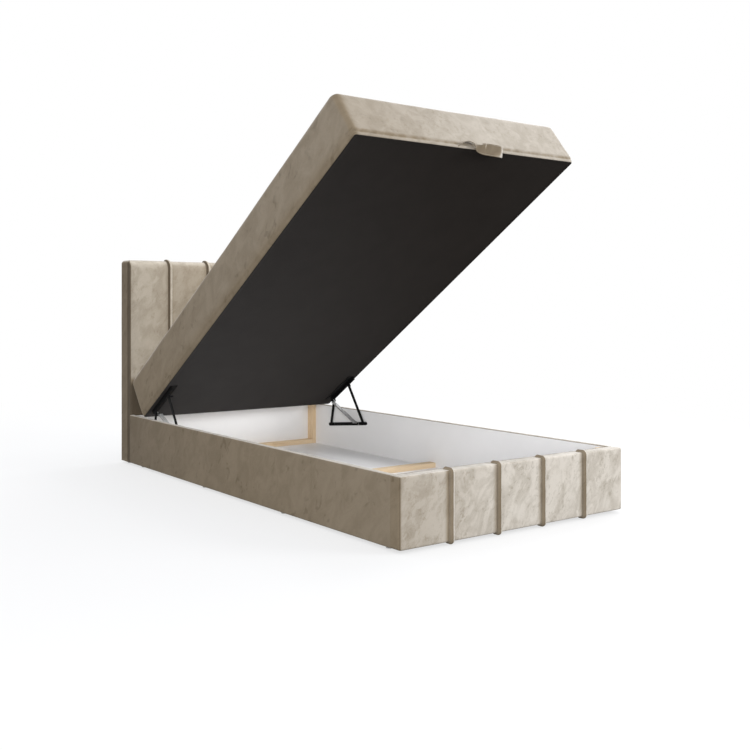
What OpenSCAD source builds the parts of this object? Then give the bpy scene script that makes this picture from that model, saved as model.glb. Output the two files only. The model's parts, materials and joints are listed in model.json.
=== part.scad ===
// Upholstered storage bed, a spring mattress lid raised by a four-bar spring lift.
// Millimetres, +Z up. The origin is on the floor under the middle of the bed.
// -Y is the foot, +Y the head, and +X is on the right seen from the foot.

/* [Bed] */
// Width of the base, the lid and the headboard
bed_w = 1200; // [1000:10:1800]
// Length of the base and of the lid
bed_l = 2000; // [1900:10:2200]
// Height of the base box
base_h = 247; // [240:1:300]
// Height of the glides that the bed stands on
glide_h = 12; // [11:1:30]
// Diameter of a glide
glide_d = 20; // [14:1:20]
// Distance of the outer glides from the ends of the bed
glide_end = 90; // [60:5:200]

/* [Base box] */
// Thickness of the side, head and foot boards
board_t = 18; // [16:1:22]
// Padded cloth on the outside of a side board
cover_t = 6; // [4:1:10]
// Single cloth folded over an edge
hem_t = 2; // [1:0.5:3]
// Radius of the padded edges of the base
cover_r = 5; // [2:0.5:6]
// Foam and cloth on the front of the foot board
foot_pad_t = 30; // [20:1:40]
// Radius of the vertical corners of the foot padding
foot_corner_r = 12; // [6:1:16]
// Radius of the top and bottom edges of the foot padding
foot_edge_r = 8; // [4:1:12]
// Gap between the base box and the headboard
joint_gap = 0.5; // [0.3:0.1:2]
// Width of a corner post across the bed
post_w = 27; // [20:1:40]
// Depth of a corner post along the bed
post_d = 41; // [30:1:50]
// Distance from the top of a post to the top of the boards
post_down = 4; // [2:1:10]

/* [Floor] */
// Height of the strips under the floor
cleat_h = 12; // [8:1:16]
// Width of the strips under the floor
cleat_w = 22; // [16:1:30]
// Thickness of the floor sheets
sheet_t = 3; // [2:0.5:5]
// Height of the battens on the floor
batten_h = 23; // [16:1:28]
// Width of the battens on the floor
batten_w = 42; // [30:1:60]
// Gap left round a floor sheet
sheet_gap = 0.5; // [0.3:0.1:2]

/* [Rolls and channels] */
// Number of rolls on the foot board and on the headboard
roll_count = 4; // [2:1:6]
// Width of a roll
roll_w = 25; // [18:1:32]
// Height of a roll over the cloth it is sewn on
roll_h = 11; // [8:0.5:14]
// Depth of the channel that a roll is sewn into
channel_dip = 1.5; // [1:0.5:3]

/* [Headboard] */
// Height of the headboard
headboard_h = 1055; // [900:5:1300]
// Thickness of the headboard
headboard_t = 100; // [80:1:140]
// Thickness of its front cushion
cushion_t = 26; // [20:1:34]
// Radius of the top edge of its front cushion
cushion_r = 22; // [12:1:26]
// Distance of the cushion's sides from the sides of the headboard
cushion_in = 4; // [2:1:8]
// Thickness of the cloth border round the frame
border_t = 4; // [3:0.5:6]
// Radius of the top corners of the headboard
headboard_r = 20; // [12:1:40]
// Width of the frame's timbers
frame_w = 60; // [40:2:90]
// Thickness of the board between cushion and frame
face_t = 3; // [2:0.5:5]
// Thickness of the cloth on the back
back_t = 1; // [0.6:0.1:2]

/* [Lid] */
// Thickness of the lid
lid_t = 216; // [190:1:230]
// Radius of its top edges
lid_edge_r = 32; // [15:1:34]
// Radius of its vertical corners
lid_corner_r = 16; // [12:1:60]
// Height of the seam over the lower edge
lid_seam_h = 13; // [8:1:20]
// Depth to which the seam draws the sides in
lid_seam_dip = 2.5; // [1:0.5:4]
// Thickness of the padded cloth of the sides
lid_side_t = 8; // [6:1:9]
// Thickness of the quilted top
lid_top_t = 15; // [10:1:25]
// Thickness of the foam under the quilted top
lid_pad_t = 28; // [15:1:40]
// Distance of the black cloth from the outer faces
dust_in = 12; // [11.5:0.5:16]
// Thickness of the black cloth
dust_t = 1.5; // [1:0.5:3]
// Height of the black cloth over the lower edge
dust_up = 1; // [0.5:0.5:3]
// Height of the timbers of the lid's frame
lid_frame_h = 25; // [18:1:35]
// Width of the timbers of the lid's frame
lid_frame_w = 50; // [42:1:80]
// Number of slats in the lid's frame
slat_count = 5; // [3:1:9]

/* [Pull strap] */
// Distance between the sewn ends of the strap
strap_span = 250; // [200:5:300]
// Distance of the strap's middle from the middle of the lid
strap_off = 20; // [-60:5:60]
// Width of the strap
strap_w = 40; // [25:1:44]
// Thickness of the strap
strap_t = 3; // [2:0.5:4]
// How far the middle of the strap stands out
strap_bow = 30; // [26:1:60]

/* [Lift] */
// Angle of the open lid
open_angle = 35.8; // [30:0.1:42]
// Distance from the open lid's top rear edge to the headboard
open_head_gap = 24; // [20:1:60]
// Height of the open lid's lower rear edge over the base
open_rise = 4.5; // [3:0.5:20]
// Distance from the closed lid to the headboard
closed_head_gap = 16; // [12:0.5:30]
// Space between the closed lid and the rolls under it
closed_gap = 0.3; // [0.3:0.1:3]
// Distance of the rear link's pin from the lid's rear edge
lid_pin_rear = 84; // [70:1:100]
// Distance of the front link's pin from the lid's rear edge
lid_pin_front = 242; // [225:1:260]
// Distance of both pins under the lid
lid_pin_drop = 25; // [22:1:28]
// Height of the rear link's lower pin over the foot of the base
base_pin_rear_z = 144; // [136:1:150]
// Height of the front link's lower pin over the foot of the base
base_pin_front_z = 177; // [170:1:182]
// Distance of the spring stud from the front link's lower pin
stud_off = 39; // [34:1:60]
// Width of a link
link_w = 16; // [14:1:20]
// How far the ears of the lid's rail stand out past a link
ear_rim = 1; // [0.5:0.5:2]
// Thickness of a link
link_t = 4; // [3:0.5:5]
// Space between parts that slide past each other
side_gap = 0.5; // [0.3:0.1:1]
// Space between a part and the one it seats on
seat_gap = 0.3; // [0.3:0.1:0.5]
// Thickness of the rail on the base
base_rail_t = 4; // [3:0.5:5]
// Width of the rail on the base
base_rail_w = 18; // [16:1:24]
// Length of the rail past its outer pins
base_rail_over = 24; // [16:1:40]
// Thickness of the angle rail on the lid
lid_rail_t = 3; // [2:0.5:4]
// Space between the lid's rail and the side board
lid_rail_gap = 1; // [0.6:0.1:2]
// Depth of the upright leg of the lid's rail
lid_rail_leg = 20; // [16:1:24]
// Width of the flat leg of the lid's rail
lid_rail_flange = 37; // [30:1:42]
// Length of the lid's rail past the rear pin
lid_rail_rear = 24; // [18:1:30]
// Length of the lid's rail past the front pin
lid_rail_front = 58; // [20:1:70]
// Diameter of the pins
pin_d = 8; // [6:0.5:9]
// Radial clearance of a pin in its hole
pin_clear = 0.08; // [0.05:0.01:0.1]
// How far the front link's upper pin stands out from the link
front_pin_l = 22; // [6:1:30]
// Diameter of a pin's head
pin_head_d = 14; // [12:0.5:16]
// Thickness of a pin's head
pin_head_t = 2; // [1.5:0.5:3]

/* [Springs] */
// Outer diameter of a coil
coil_d = 11; // [9:0.5:13]
// Diameter of the spring wire
wire_d = 2; // [1.5:0.1:2.5]
// Turns of each coil
coil_turns = 20; // [10:1:22]
// Space between the two coils of a side
coil_gap = 1; // [0.5:0.5:3]
// Distance from an eye to the plate that holds the coils
hanger_reach = 15; // [13:1:22]
// Thickness of the plates that hold the coils
hanger_t = 3; // [2:0.5:4]

/* [Fasteners] */
// Diameter of a wood screw
screw_d = 4; // [3:0.5:5]
// Diameter of a screw's head
screw_head_d = 8; // [7:0.5:9]
// Length of a screw in the wood
screw_l = 14; // [10:1:15]
// Screws in each rail on the base
base_screws = 3; // [2:1:4]
// Screws in each rail on the lid
lid_screws = 3; // [2:1:4]
// Diameter of the headboard bolts
bolt_d = 8; // [6:1:10]
// Diameter of the bolt caps
bolt_cap_d = 18; // [14:1:24]
// Thickness of the bolt caps
bolt_cap_t = 2; // [1:0.5:4]
// Height of the lower bolts over the foot of the base
bolt_low = 75; // [60:5:100]
// Height of the upper bolts over the foot of the base
bolt_high = 185; // [150:5:210]
// Distance of the bolts from the sides of the bed
bolt_in = 160; // [120:5:300]

/* [Hidden] */
$fn = 48;

// One overrun serves every cut.
overrun = 1;

// How far a roll's crest stands over the cloth beside it.
roll_out = roll_h - channel_dip;

// Positions along the bed and up it.
total_l = roll_out + bed_l + headboard_t;
foot_y = roll_out - total_l / 2;
head_y = foot_y + bed_l;
back_y = head_y + headboard_t;
base_z = glide_h;
base_top = base_z + base_h;
half_w = bed_w / 2;
side_in = half_w - cover_t - board_t;
foot_in_y = foot_y + foot_pad_t + board_t;
head_in_y = head_y - joint_gap - board_t;
board_low = base_z + channel_dip + hem_t;
board_top = base_top - channel_dip - hem_t;
board_h = board_top - board_low;
floor_z = board_low + cleat_h;
floor_top = floor_z + sheet_t;
middle_y = (foot_in_y + head_in_y) / 2;
headboard_top = base_z + headboard_h;

// Where the rolls lie across the bed.
roll_pitch = bed_w / (roll_count + 1);
function roll_x(i) = -half_w + i * roll_pitch;

// The lid's lower rear edge, open and closed, as [y, z].
open_edge = [head_y - open_head_gap - lid_t * sin(open_angle), base_top + open_rise];
closed_edge = [head_y - closed_head_gap, base_top + roll_out + closed_gap];

// A point of the lid, a along it from its rear edge and n over its underside.
function lid_open(a, n) = open_edge
    + [n * sin(open_angle) - a * cos(open_angle), n * cos(open_angle) + a * sin(open_angle)];
function lid_closed(a, n) = closed_edge + [-a, n];

// The centre at height z of the arc that takes a pin from p to q.
function arc_centre(p, q, z) =
    [(p.x + q.x) / 2 - (z - (p.y + q.y) / 2) * (q.y - p.y) / (q.x - p.x), z];
function direction(p, q) = atan2(q.y - p.y, q.x - p.x);
function polar(r, a) = [r * cos(a), r * sin(a)];

// The lift's pins, as [y, z], with the lid open.
rear_top = lid_open(lid_pin_rear, -lid_pin_drop);
front_top = lid_open(lid_pin_front, -lid_pin_drop);
rear_shut = lid_closed(lid_pin_rear, -lid_pin_drop);
front_shut = lid_closed(lid_pin_front, -lid_pin_drop);
rear_foot = arc_centre(rear_top, rear_shut, base_z + base_pin_rear_z);
front_foot = arc_centre(front_top, front_shut, base_z + base_pin_front_z);
rail_angle = direction(front_foot, rear_foot);
stud = front_foot + polar(stud_off, rail_angle);
spring_angle = direction(stud, rear_top);
spring_l = norm(rear_top - stud);
coil_start = hanger_reach + hanger_t + seat_gap + wire_d / 2;
coil_l = spring_l - 2 * coil_start;

// Layers of the lift across the bed, from the side board inwards.
base_rail_x = side_in - base_rail_t;
lid_rail_x = side_in - lid_rail_gap - lid_rail_t;
link_x = min(base_rail_x, lid_rail_x) - side_gap - link_t;
pin_head_x = link_x - side_gap / 2 - pin_head_t;
hanger_x = pin_head_x - side_gap - hanger_t;
coil_r = (coil_d - wire_d) / 2;
coil_x_outer = pin_head_x - side_gap - coil_d / 2;
coil_x_inner = coil_x_outer - coil_d - coil_gap;
hole_r = pin_d / 2 + pin_clear;

// Sizes inside the lid, over its lower edge.
lid_frame_z = dust_up + dust_t;
lid_core_z = lid_frame_z + lid_frame_h;
lid_pad_z = lid_t - lid_top_t - lid_pad_t;
lid_in_w = bed_w - 2 * (lid_side_t + lid_seam_dip);
lid_in_l = bed_l - 2 * (lid_side_t + lid_seam_dip);
lid_in_y = lid_side_t + lid_seam_dip;
flange_x = lid_rail_x + lid_rail_t - lid_rail_flange;

// Sewn spring pockets across and along the lid.
pocket_wall = 1.5;
pocket_across = 7;
pocket_along = 12;

// Colours.
cloth_side = "#a89d8b";
cloth_front = "#c8c2b6";
laminate = "#e8e6e3";
pine = "#d8bb8c";
steel_black = "#1c1b1a";

// Shared shapes.
function arc(c, r, a0, a1, n) = [for (i = [0:n]) c + polar(r, a0 + (a1 - a0) * i / n)];

// Draws a shape given in [y, z] as a plate from x, thick across the bed.
module plate(x, t) {
    translate([x, 0, 0]) rotate([90, 0, 90]) linear_extrude(t) children();
}

// Draws a shape given in [x, z] as a bar from y, long along the bed.
module bar(y, l) {
    translate([0, y + l, 0]) rotate([90, 0, 0]) linear_extrude(l) children();
}

module at(p) {
    translate([p.x, p.y]) children();
}

// A flat strip with round ends, w wide, from p to q.
module strip(p, q, w) {
    a = direction(p, q);
    polygon(concat(arc(p, w / 2, a + 90, a + 270, 12), arc(q, w / 2, a - 90, a + 90, 12)));
}

module pin(p, d, x0, x1) {
    plate(x0, x1 - x0) at(p) circle(d = d);
}

module both_sides() {
    children();
    mirror([1, 0, 0]) children();
}

module block(x0, x1, y0, y1, z0, z1) {
    translate([x0, y0, z0]) cube([x1 - x0, y1 - y0, z1 - z0]);
}

// Base box.
module side_board() {
    color(laminate) difference() {
        block(side_in, side_in + board_t, foot_in_y, head_y - joint_gap, board_low, board_top);
        for (p = base_screw_points()) screw_hole(p);
    }
}

// Screws of a base rail, spread between the spring stud and the rear pin.
function base_screw_points() = [for (i = [1:base_screws])
    stud + (rear_foot - stud) * i / (base_screws + 1)];

module screw_hole(p) {
    pin(p, screw_d + 2 * pin_clear, side_in - overrun, side_in + screw_l + pin_clear);
}

// Section of the padded cloth over a side board: outside, top and bottom hems.
module side_section() {
    difference() {
        polygon(concat(
            [[side_in, base_z]],
            arc([half_w - cover_r, base_z + cover_r], cover_r, -90, 0, 6),
            arc([half_w - cover_r, base_top - cover_r], cover_r, 0, 90, 6),
            [[side_in, base_top]]));
        translate([side_in - overrun, board_low]) square([board_t + overrun, board_h]);
    }
}

module side_cover() {
    color(cloth_side) bar(foot_in_y, head_y - joint_gap - foot_in_y) side_section();
}

module head_panel() {
    color(laminate) difference() {
        block(-side_in, side_in, head_in_y, head_in_y + board_t, board_low, board_top);
        bolt_holes(bolt_d, head_in_y - overrun, head_y);
    }
}

module foot_board() {
    color(laminate) block(-half_w + cover_t, half_w - cover_t,
        foot_in_y - board_t, foot_in_y, board_low, board_top);
}

// Front line of a channelled pad, in [x, depth]: panels crowned between the channels.
function crown(s) = pow(1 - pow(abs(2 * s - 1), 6), 1 / 2);
function panel_front(x0, x1, n) =
    [for (i = [0:n]) [x0 + (x1 - x0) * i / n, channel_dip * (1 - crown(i / n))]];
function channelled_front(half, edge_r) = [for (i = [0:roll_count])
    each panel_front(i == 0 ? -half + edge_r : roll_x(i) + roll_w / 2,
        i == roll_count ? half - edge_r : roll_x(i + 1) - roll_w / 2, 16)];

// Outline from above of a channelled pad with round front corners.
module channelled_outline(half, edge_r, depth) {
    polygon(concat(
        [[-half, depth]],
        arc([-half + edge_r, channel_dip + edge_r], edge_r, 180, 270, 6),
        channelled_front(half, edge_r),
        arc([half - edge_r, channel_dip + edge_r], edge_r, -90, 0, 6),
        [[half, depth]]));
}

// Side view of the foot padding with round front edges, drawn in by the depth dip.
module foot_profile(dip) {
    r = foot_edge_r - dip;
    y = foot_y + foot_edge_r;
    polygon(concat(
        [[foot_in_y, base_z + dip]],
        arc([y, base_z + foot_edge_r], r, 270, 180, 6),
        arc([y, base_top - foot_edge_r], r, 180, 90, 6),
        [[foot_in_y, base_top - dip]]));
}

// Cuts the channels of the rolls out of a pad, outside the drawn-in profile given.
module channels(low, high, front, back) {
    for (i = [1:roll_count]) plate(roll_x(i) - roll_w / 2, roll_w) difference() {
        translate([front - overrun, low - overrun])
            square([back - front + 2 * overrun, high - low + 2 * overrun]);
        children();
    }
}

module foot_padding() {
    color(cloth_front) difference() {
        intersection() {
            plate(-half_w - overrun, bed_w + 2 * overrun) foot_profile(0);
            translate([0, foot_y, base_z]) linear_extrude(base_h)
                channelled_outline(half_w, foot_corner_r, foot_pad_t + board_t);
        }
        channels(base_z, base_top, foot_y, foot_in_y) union() {
            foot_profile(channel_dip);
            translate([foot_in_y - overrun, base_z + channel_dip])
                square([3 * overrun, base_h - 2 * channel_dip]);
        }
        block(-half_w + cover_t, half_w - cover_t, foot_in_y - board_t, foot_in_y + overrun,
            board_low, board_top);
    }
}

// Half oval section of a roll, standing on the line y = 0.
module roll_section() {
    polygon([for (i = [0:12]) [roll_w / 2 * cos(i * 15), roll_h * sin(i * 15)]]);
}

// A roll up a front face at y, from z0 to z1, then round a top edge of radius r and back to y1.
module roll_up(x, y, z0, z1, r, y1) {
    translate([x, y, z0]) rotate([0, 0, 180]) linear_extrude(z1 - r - z0) roll_section();
    roll_turn([x, y + r, z1 - r], r, 90);
    translate([x, y1, z1]) rotate([90, 0, 0]) linear_extrude(y1 - y - r) roll_section();
}

// A quarter turn of a roll about an edge of radius r.
module roll_turn(c, r, turn) {
    translate(c) rotate([turn, 0, 0]) rotate([0, 90, 0]) rotate([0, 0, 90])
        rotate_extrude(angle = 90, $fn = 48) rotate(-90) translate([0, r]) roll_section();
}

// A roll of the foot board runs from under it, up its face and over to its inner edge.
module foot_roll(i) {
    r = foot_edge_r - channel_dip;
    y = foot_y + channel_dip;
    low = base_z + channel_dip;
    color(cloth_front) {
        roll_up(roll_x(i), y, low + r, base_top - channel_dip, r, foot_in_y);
        roll_turn([roll_x(i), y + r, low + r], r, 180);
        translate([roll_x(i), y + r, low]) rotate([-90, 0, 0])
            linear_extrude(foot_pad_t - foot_edge_r) roll_section();
    }
}

// Posts, battens and floor.
module corner_post(head) {
    y = head ? head_in_y - post_d : foot_in_y;
    color(pine) block(side_in - post_w, side_in, y, y + post_d, floor_top, board_top - post_down);
}

module head_batten() {
    half = side_in - post_w;
    color(pine) block(-half, half, head_in_y - batten_w, head_in_y,
        floor_top, floor_top + batten_h);
}

module middle_batten() {
    color(pine) block(-side_in, side_in, middle_y - batten_w / 2, middle_y + batten_w / 2,
        floor_top, floor_top + batten_h);
}

module floor_sheet(y0, y1) {
    half = side_in - sheet_gap;
    color("#b5b1ad") block(-half, half, y0, y1, floor_z, floor_top);
}

module floor_cleat() {
    color(pine) block(side_in - cleat_w, side_in, foot_in_y, head_in_y, board_low, floor_z);
}

module floor_cross_rail() {
    half = side_in - cleat_w;
    color(pine) block(-half, half, middle_y - batten_w / 2, middle_y + batten_w / 2,
        board_low, floor_z);
}

// Glides under the floor's side strips, and two under the headboard.
glide_ys = [for (i = [0:3]) foot_y + glide_end + (bed_l - 2 * glide_end) * i / 3];
glide_x = side_in - side_gap - glide_d / 2;
module floor_glides() {
    color("#2b2a29") both_sides() {
        for (y = glide_ys)
            translate([glide_x, y, 0]) cylinder(d = glide_d, h = board_low);
        translate([half_w - border_t - frame_w / 2, back_y - headboard_t / 3, 0])
            cylinder(d = glide_d, h = base_z);
    }
}

// Headboard.
module round_top(half, low, top, r) {
    translate([-half, low]) square([2 * half, top - r - low]);
    translate([-half + r, low]) square([2 * (half - r), top - low]);
    translate([-half + r, top - r]) circle(r);
    translate([half - r, top - r]) circle(r);
}

frame_half = half_w - border_t;
frame_top = headboard_top - border_t;
frame_r = headboard_r - border_t;
cushion_back = head_y + cushion_t;

module headboard_border() {
    color(cloth_side) bar(cushion_back, headboard_t - cushion_t) difference() {
        round_top(half_w, base_z, headboard_top, headboard_r);
        round_top(frame_half, base_z - overrun, frame_top, frame_r);
    }
}

// Two posts, and rails at the foot, at the height of the lid and at the top.
module headboard_frame() {
    y = cushion_back + face_t;
    depth = headboard_t - cushion_t - face_t - back_t;
    rail_low = base_z + base_h;
    color(pine) difference() {
        bar(y, depth) round_top(frame_half, base_z, frame_top, frame_r);
        for (z = [rail_low, (rail_low + frame_top) / 2]) block(-frame_half + frame_w,
            frame_half - frame_w, y - overrun, back_y, z, z + (frame_top - rail_low) / 2 - frame_w);
        bolt_holes(bolt_d, y - overrun, y + depth / 2);
    }
}

module headboard_face_board() {
    color("#b08d62") difference() {
        bar(cushion_back, face_t) round_top(frame_half, base_z, frame_top, frame_r);
        bolt_holes(bolt_d, cushion_back - overrun, cushion_back + face_t + overrun);
    }
}

module headboard_back_cloth() {
    color(steel_black) bar(back_y - back_t, back_t)
        round_top(frame_half, base_z, frame_top, frame_r);
}

module cushion_profile(dip) {
    polygon(concat(
        [[cushion_back + (dip > 0 ? overrun : 0), base_z - dip], [head_y + dip, base_z - dip]],
        arc([head_y + cushion_r, headboard_top - cushion_r], cushion_r - dip, 180, 90, 8),
        [[cushion_back + (dip > 0 ? overrun : 0), headboard_top - dip]]));
}

module headboard_cushion() {
    half = half_w - cushion_in;
    color(cloth_front) difference() {
        intersection() {
            plate(-half_w, bed_w) cushion_profile(0);
            translate([0, head_y, base_z]) linear_extrude(headboard_h)
                channelled_outline(half, foot_corner_r, cushion_t);
        }
        channels(headboard_top - headboard_h / 2, headboard_top, head_y, cushion_back)
            cushion_profile(channel_dip);
        bolt_holes(bolt_d, head_y - overrun, cushion_back + overrun);
    }
}

// The rolls start over the base box and end at the back of the cushion.
module headboard_roll(i) {
    y = head_y + channel_dip;
    color(cloth_front) roll_up(roll_x(i), y, base_top + roll_h, headboard_top - channel_dip,
        cushion_r - channel_dip, cushion_back);
}

bolt_points = [for (x = [-1, 1]) for (z = [bolt_low, bolt_high])
    [x * (half_w - bolt_in), base_z + z]];

module bolt_holes(d, y0, y1) {
    bar(y0, y1 - y0) for (p = bolt_points) at(p) circle(d = d + 2 * pin_clear);
}

module headboard_bolts() {
    color(laminate) {
        bar(head_in_y - bolt_cap_t, bolt_cap_t) for (p = bolt_points) at(p) circle(d = bolt_cap_d);
        bar(head_in_y, cushion_back + face_t + headboard_t / 4 - head_in_y)
            for (p = bolt_points) at(p) circle(d = bolt_d);
    }
}

// Lift on the right side. The left side is its mirror image.
module base_rail() {
    color(steel_black) difference() {
        plate(base_rail_x, base_rail_t) difference() {
            strip(front_foot - polar(base_rail_over - base_rail_w / 2, rail_angle),
                rear_foot + polar(base_rail_over - base_rail_w / 2, rail_angle), base_rail_w);
            for (p = [front_foot, rear_foot, stud]) at(p) circle(hole_r);
            for (p = base_screw_points()) at(p) circle(d = screw_d + 2 * pin_clear);
        }
    }
}

module base_rail_screws() {
    color(steel_black) both_sides() for (p = base_screw_points()) {
        pin(p, screw_d, base_rail_x - pin_clear, side_in + screw_l);
        pin(p, screw_head_d, base_rail_x - pin_clear - screw_d / 4, base_rail_x - pin_clear);
    }
}

// Rivets of both links, and the stud that the springs hang on.
module base_rail_pins() {
    color("#3a3938") both_sides() {
        for (p = [front_foot, rear_foot]) {
            pin(p, pin_d, pin_head_x, side_in);
            pin(p, pin_head_d, pin_head_x, pin_head_x + pin_head_t);
        }
        pin(stud, pin_d, hanger_x - side_gap, side_in);
        pin(stud, pin_head_d, hanger_x - side_gap - pin_head_t, hanger_x - side_gap);
        pin(stud, pin_d + pin_head_t, hanger_x + hanger_t + side_gap, base_rail_x);
    }
}

module link(p, q) {
    color(steel_black) plate(link_x, link_t) difference() {
        strip(p, q, link_w);
        at(p) circle(hole_r);
        at(q) circle(hole_r);
    }
}

// The front link's upper pin ends short of the lid's rail, where the linkage is open.
module front_link_pins() {
    color("#3a3938") both_sides() {
        pin(front_top, pin_d, link_x - front_pin_l, link_x + link_t + side_gap / 2);
        pin(front_top, pin_head_d, pin_head_x, pin_head_x + pin_head_t);
    }
}

// Places a shape drawn along +Y from the origin on the line of the springs, from p.
module along_springs(p, turn) {
    translate([0, p.x, p.y]) rotate([spring_angle + turn, 0, 0]) children();
}

// An eye plate and a cross plate that holds two coils.
module hanger(eye_r) {
    x0 = coil_x_inner - coil_d / 2;
    x1 = coil_x_outer + coil_d / 2;
    plate(hanger_x, hanger_t) difference() {
        union() {
            circle(d = link_w);
            translate([0, -coil_d / 2]) square([hanger_reach + hanger_t, coil_d]);
        }
        circle(eye_r);
    }
    translate([x0, hanger_reach, -coil_d / 2]) cube([x1 - x0, hanger_t, coil_d]);
}

module spring_foot() {
    color("#4a4846") along_springs(stud, 0) hanger(hole_r);
}

module spring_head() {
    color("#4a4846") along_springs(rear_top, 180) hanger(hole_r);
}

// The pin in the springs' upper eye ends short of the lid's rear pin, in line with it.
module spring_head_pins() {
    color("#3a3938") both_sides() {
        pin(rear_top, pin_d, hanger_x - side_gap, pin_head_x - side_gap / 2);
        pin(rear_top, pin_head_d, hanger_x - side_gap - pin_head_t, hanger_x - side_gap);
    }
}

// One ring of the wire: sides points round a point of the helix.
wire_sides = 6;
turn_rings = 8;
coil_pitch = coil_l / coil_turns;
lead_angle = atan2(coil_pitch, 2 * PI * coil_r);
function helix(k) = let (a = 360 * k / turn_rings)
    [coil_r * cos(a), coil_pitch * k / turn_rings, coil_r * sin(a)];
function wire_ring(k) = let (a = 360 * k / turn_rings) [for (i = [0:wire_sides - 1])
    let (b = 360 * i / wire_sides, out = wire_d / 2 * cos(b), up = wire_d / 2 * sin(b))
    helix(k) + [cos(a) * out + sin(a) * up * sin(lead_angle), up * cos(lead_angle),
        sin(a) * out - cos(a) * up * sin(lead_angle)]];

module coil() {
    last = coil_turns * turn_rings;
    points = [for (k = [0:last]) each wire_ring(k)];
    walls = [for (k = [0:last - 1]) for (i = [0:wire_sides - 1]) let (
        j = (i + 1) % wire_sides, a = k * wire_sides, b = a + wire_sides)
        each [[a + i, b + i, b + j], [a + i, b + j, a + j]]];
    ends = [[for (i = [0:wire_sides - 1]) i],
        [for (i = [wire_sides - 1:-1:0]) last * wire_sides + i]];
    polyhedron(points, concat(walls, ends));
}

// Least gap between a turn and the next, measured on points of the wire.
coil_least_gap = min([for (k = [0:turn_rings]) norm(helix(k + turn_rings) - helix(k))]) - wire_d;
echo(coil_least_gap = coil_least_gap);

module spring_coils() {
    color("#8d8a86") along_springs(stud, 0) for (x = [coil_x_inner, coil_x_outer])
        translate([x, coil_start, 0]) coil();
}

// Lid, drawn flat with its lower rear edge on the X axis, then raised.
module raised() {
    translate([0, open_edge.x, open_edge.y]) rotate([-open_angle, 0, 0]) children();
}

// Half outline of the lid's upright section: lower band, seam, side and round top edge.
function lid_side_points(half) = concat(
    [[half - lid_seam_dip, 0], [half - lid_seam_dip / 2, lid_seam_h / 2],
        [half - lid_seam_dip, lid_seam_h]],
    [for (i = [1:5]) [half - lid_seam_dip * (1 - crown(i / 10)),
        lid_seam_h + (lid_t - lid_edge_r - lid_seam_h) * i / 5]],
    arc([half - lid_edge_r, lid_t - lid_edge_r], lid_edge_r, 10, 90, 8));
module lid_section(half) {
    right = lid_side_points(half);
    count = len(right);
    polygon(concat(right, [for (i = [count - 1:-1:0]) [-right[i].x, right[i].y]]));
}

module lid_outline() {
    r = lid_corner_r;
    for (x = [-half_w + r, half_w - r]) for (y = [-r, r - bed_l]) translate([x, y]) circle(r);
    translate([-half_w + r, -bed_l]) square([bed_w - 2 * r, bed_l]);
    translate([-half_w, r - bed_l]) square([bed_w, bed_l - 2 * r]);
}

module lid_cover() {
    color(cloth_side) raised() difference() {
        intersection() {
            bar(-bed_l, bed_l) lid_section(half_w);
            plate(-half_w, bed_w) translate([-bed_l / 2, 0]) lid_section(bed_l / 2);
            linear_extrude(lid_t) lid_outline();
        }
        block(-lid_in_w / 2, lid_in_w / 2, -lid_in_y - lid_in_l, -lid_in_y,
            -overrun, lid_t - lid_top_t);
    }
}

module lid_dust_cloth() {
    color("#2a2826") raised() difference() {
        block(-half_w + dust_in, half_w - dust_in, dust_in - bed_l, -dust_in,
            dust_up, dust_up + dust_t);
        rail_screw_holes();
    }
}

module lid_frame() {
    half = lid_in_w / 2;
    color(pine) raised() difference() {
        block(-half, half, -lid_in_y - lid_in_l, -lid_in_y, lid_frame_z, lid_core_z);
        block(-half + lid_frame_w, half - lid_frame_w, -lid_in_y - lid_in_l + lid_frame_w,
            -lid_in_y - lid_frame_w, lid_frame_z - overrun, lid_core_z + overrun);
        rail_screw_holes();
    }
}

// Slats lie between the long timbers of the lid's frame.
module lid_slats() {
    half = lid_in_w / 2 - lid_frame_w;
    pitch = (lid_in_l - 2 * lid_frame_w) / (slat_count + 1);
    color(pine) raised() for (i = [1:slat_count]) translate([0, -lid_in_y - lid_frame_w - i * pitch, 0])
        block(-half, half, -lid_frame_w / 2, lid_frame_w / 2, lid_frame_z, lid_core_z);
}

// Pocket springs as a grid of sewn pockets.
module lid_spring_core() {
    cell_w = (lid_in_w - pocket_wall) / pocket_across;
    cell_l = (lid_in_l - pocket_wall) / pocket_along;
    color("#dcdad6") raised() translate([-lid_in_w / 2, -lid_in_y - lid_in_l, lid_core_z])
        linear_extrude(lid_pad_z - lid_core_z) difference() {
            square([lid_in_w, lid_in_l]);
            for (i = [0:pocket_across - 1]) for (j = [0:pocket_along - 1])
                translate([pocket_wall + i * cell_w, pocket_wall + j * cell_l])
                    square([cell_w - pocket_wall, cell_l - pocket_wall]);
        }
}

module lid_foam_pad() {
    color("#e9e2c4") raised() block(-lid_in_w / 2, lid_in_w / 2, -lid_in_y - lid_in_l, -lid_in_y,
        lid_pad_z, lid_t - lid_top_t);
}

// The strap leaves the seam, stands out edge on, then turns to hang flat before the lower edge.
// Shares of the span, of the bow outwards and upwards, and of the width, end to end.
strap_x_shares = [-0.5, -0.38, -0.25, -0.12, 0.02, 0.16, 0.3, 0.43, 0.5];
strap_out_shares = [0.09, 0.45, 0.66, 0.72, 0.72, 0.56, 0.54, 0.42, 0.09];
strap_up_shares = [0.5, 0.66, 0.8, 0.62, 0.3, 0.12, 0.1, 0.16, 0.3];
strap_w_shares = [0.1, 0.55, 0.95, 1, 1, 1, 1, 0.8, 0.1];
strap_turns = [-50, -50, -48, -30, 20, 50, 54, 54, 54];
strap_rings = 24;

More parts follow.
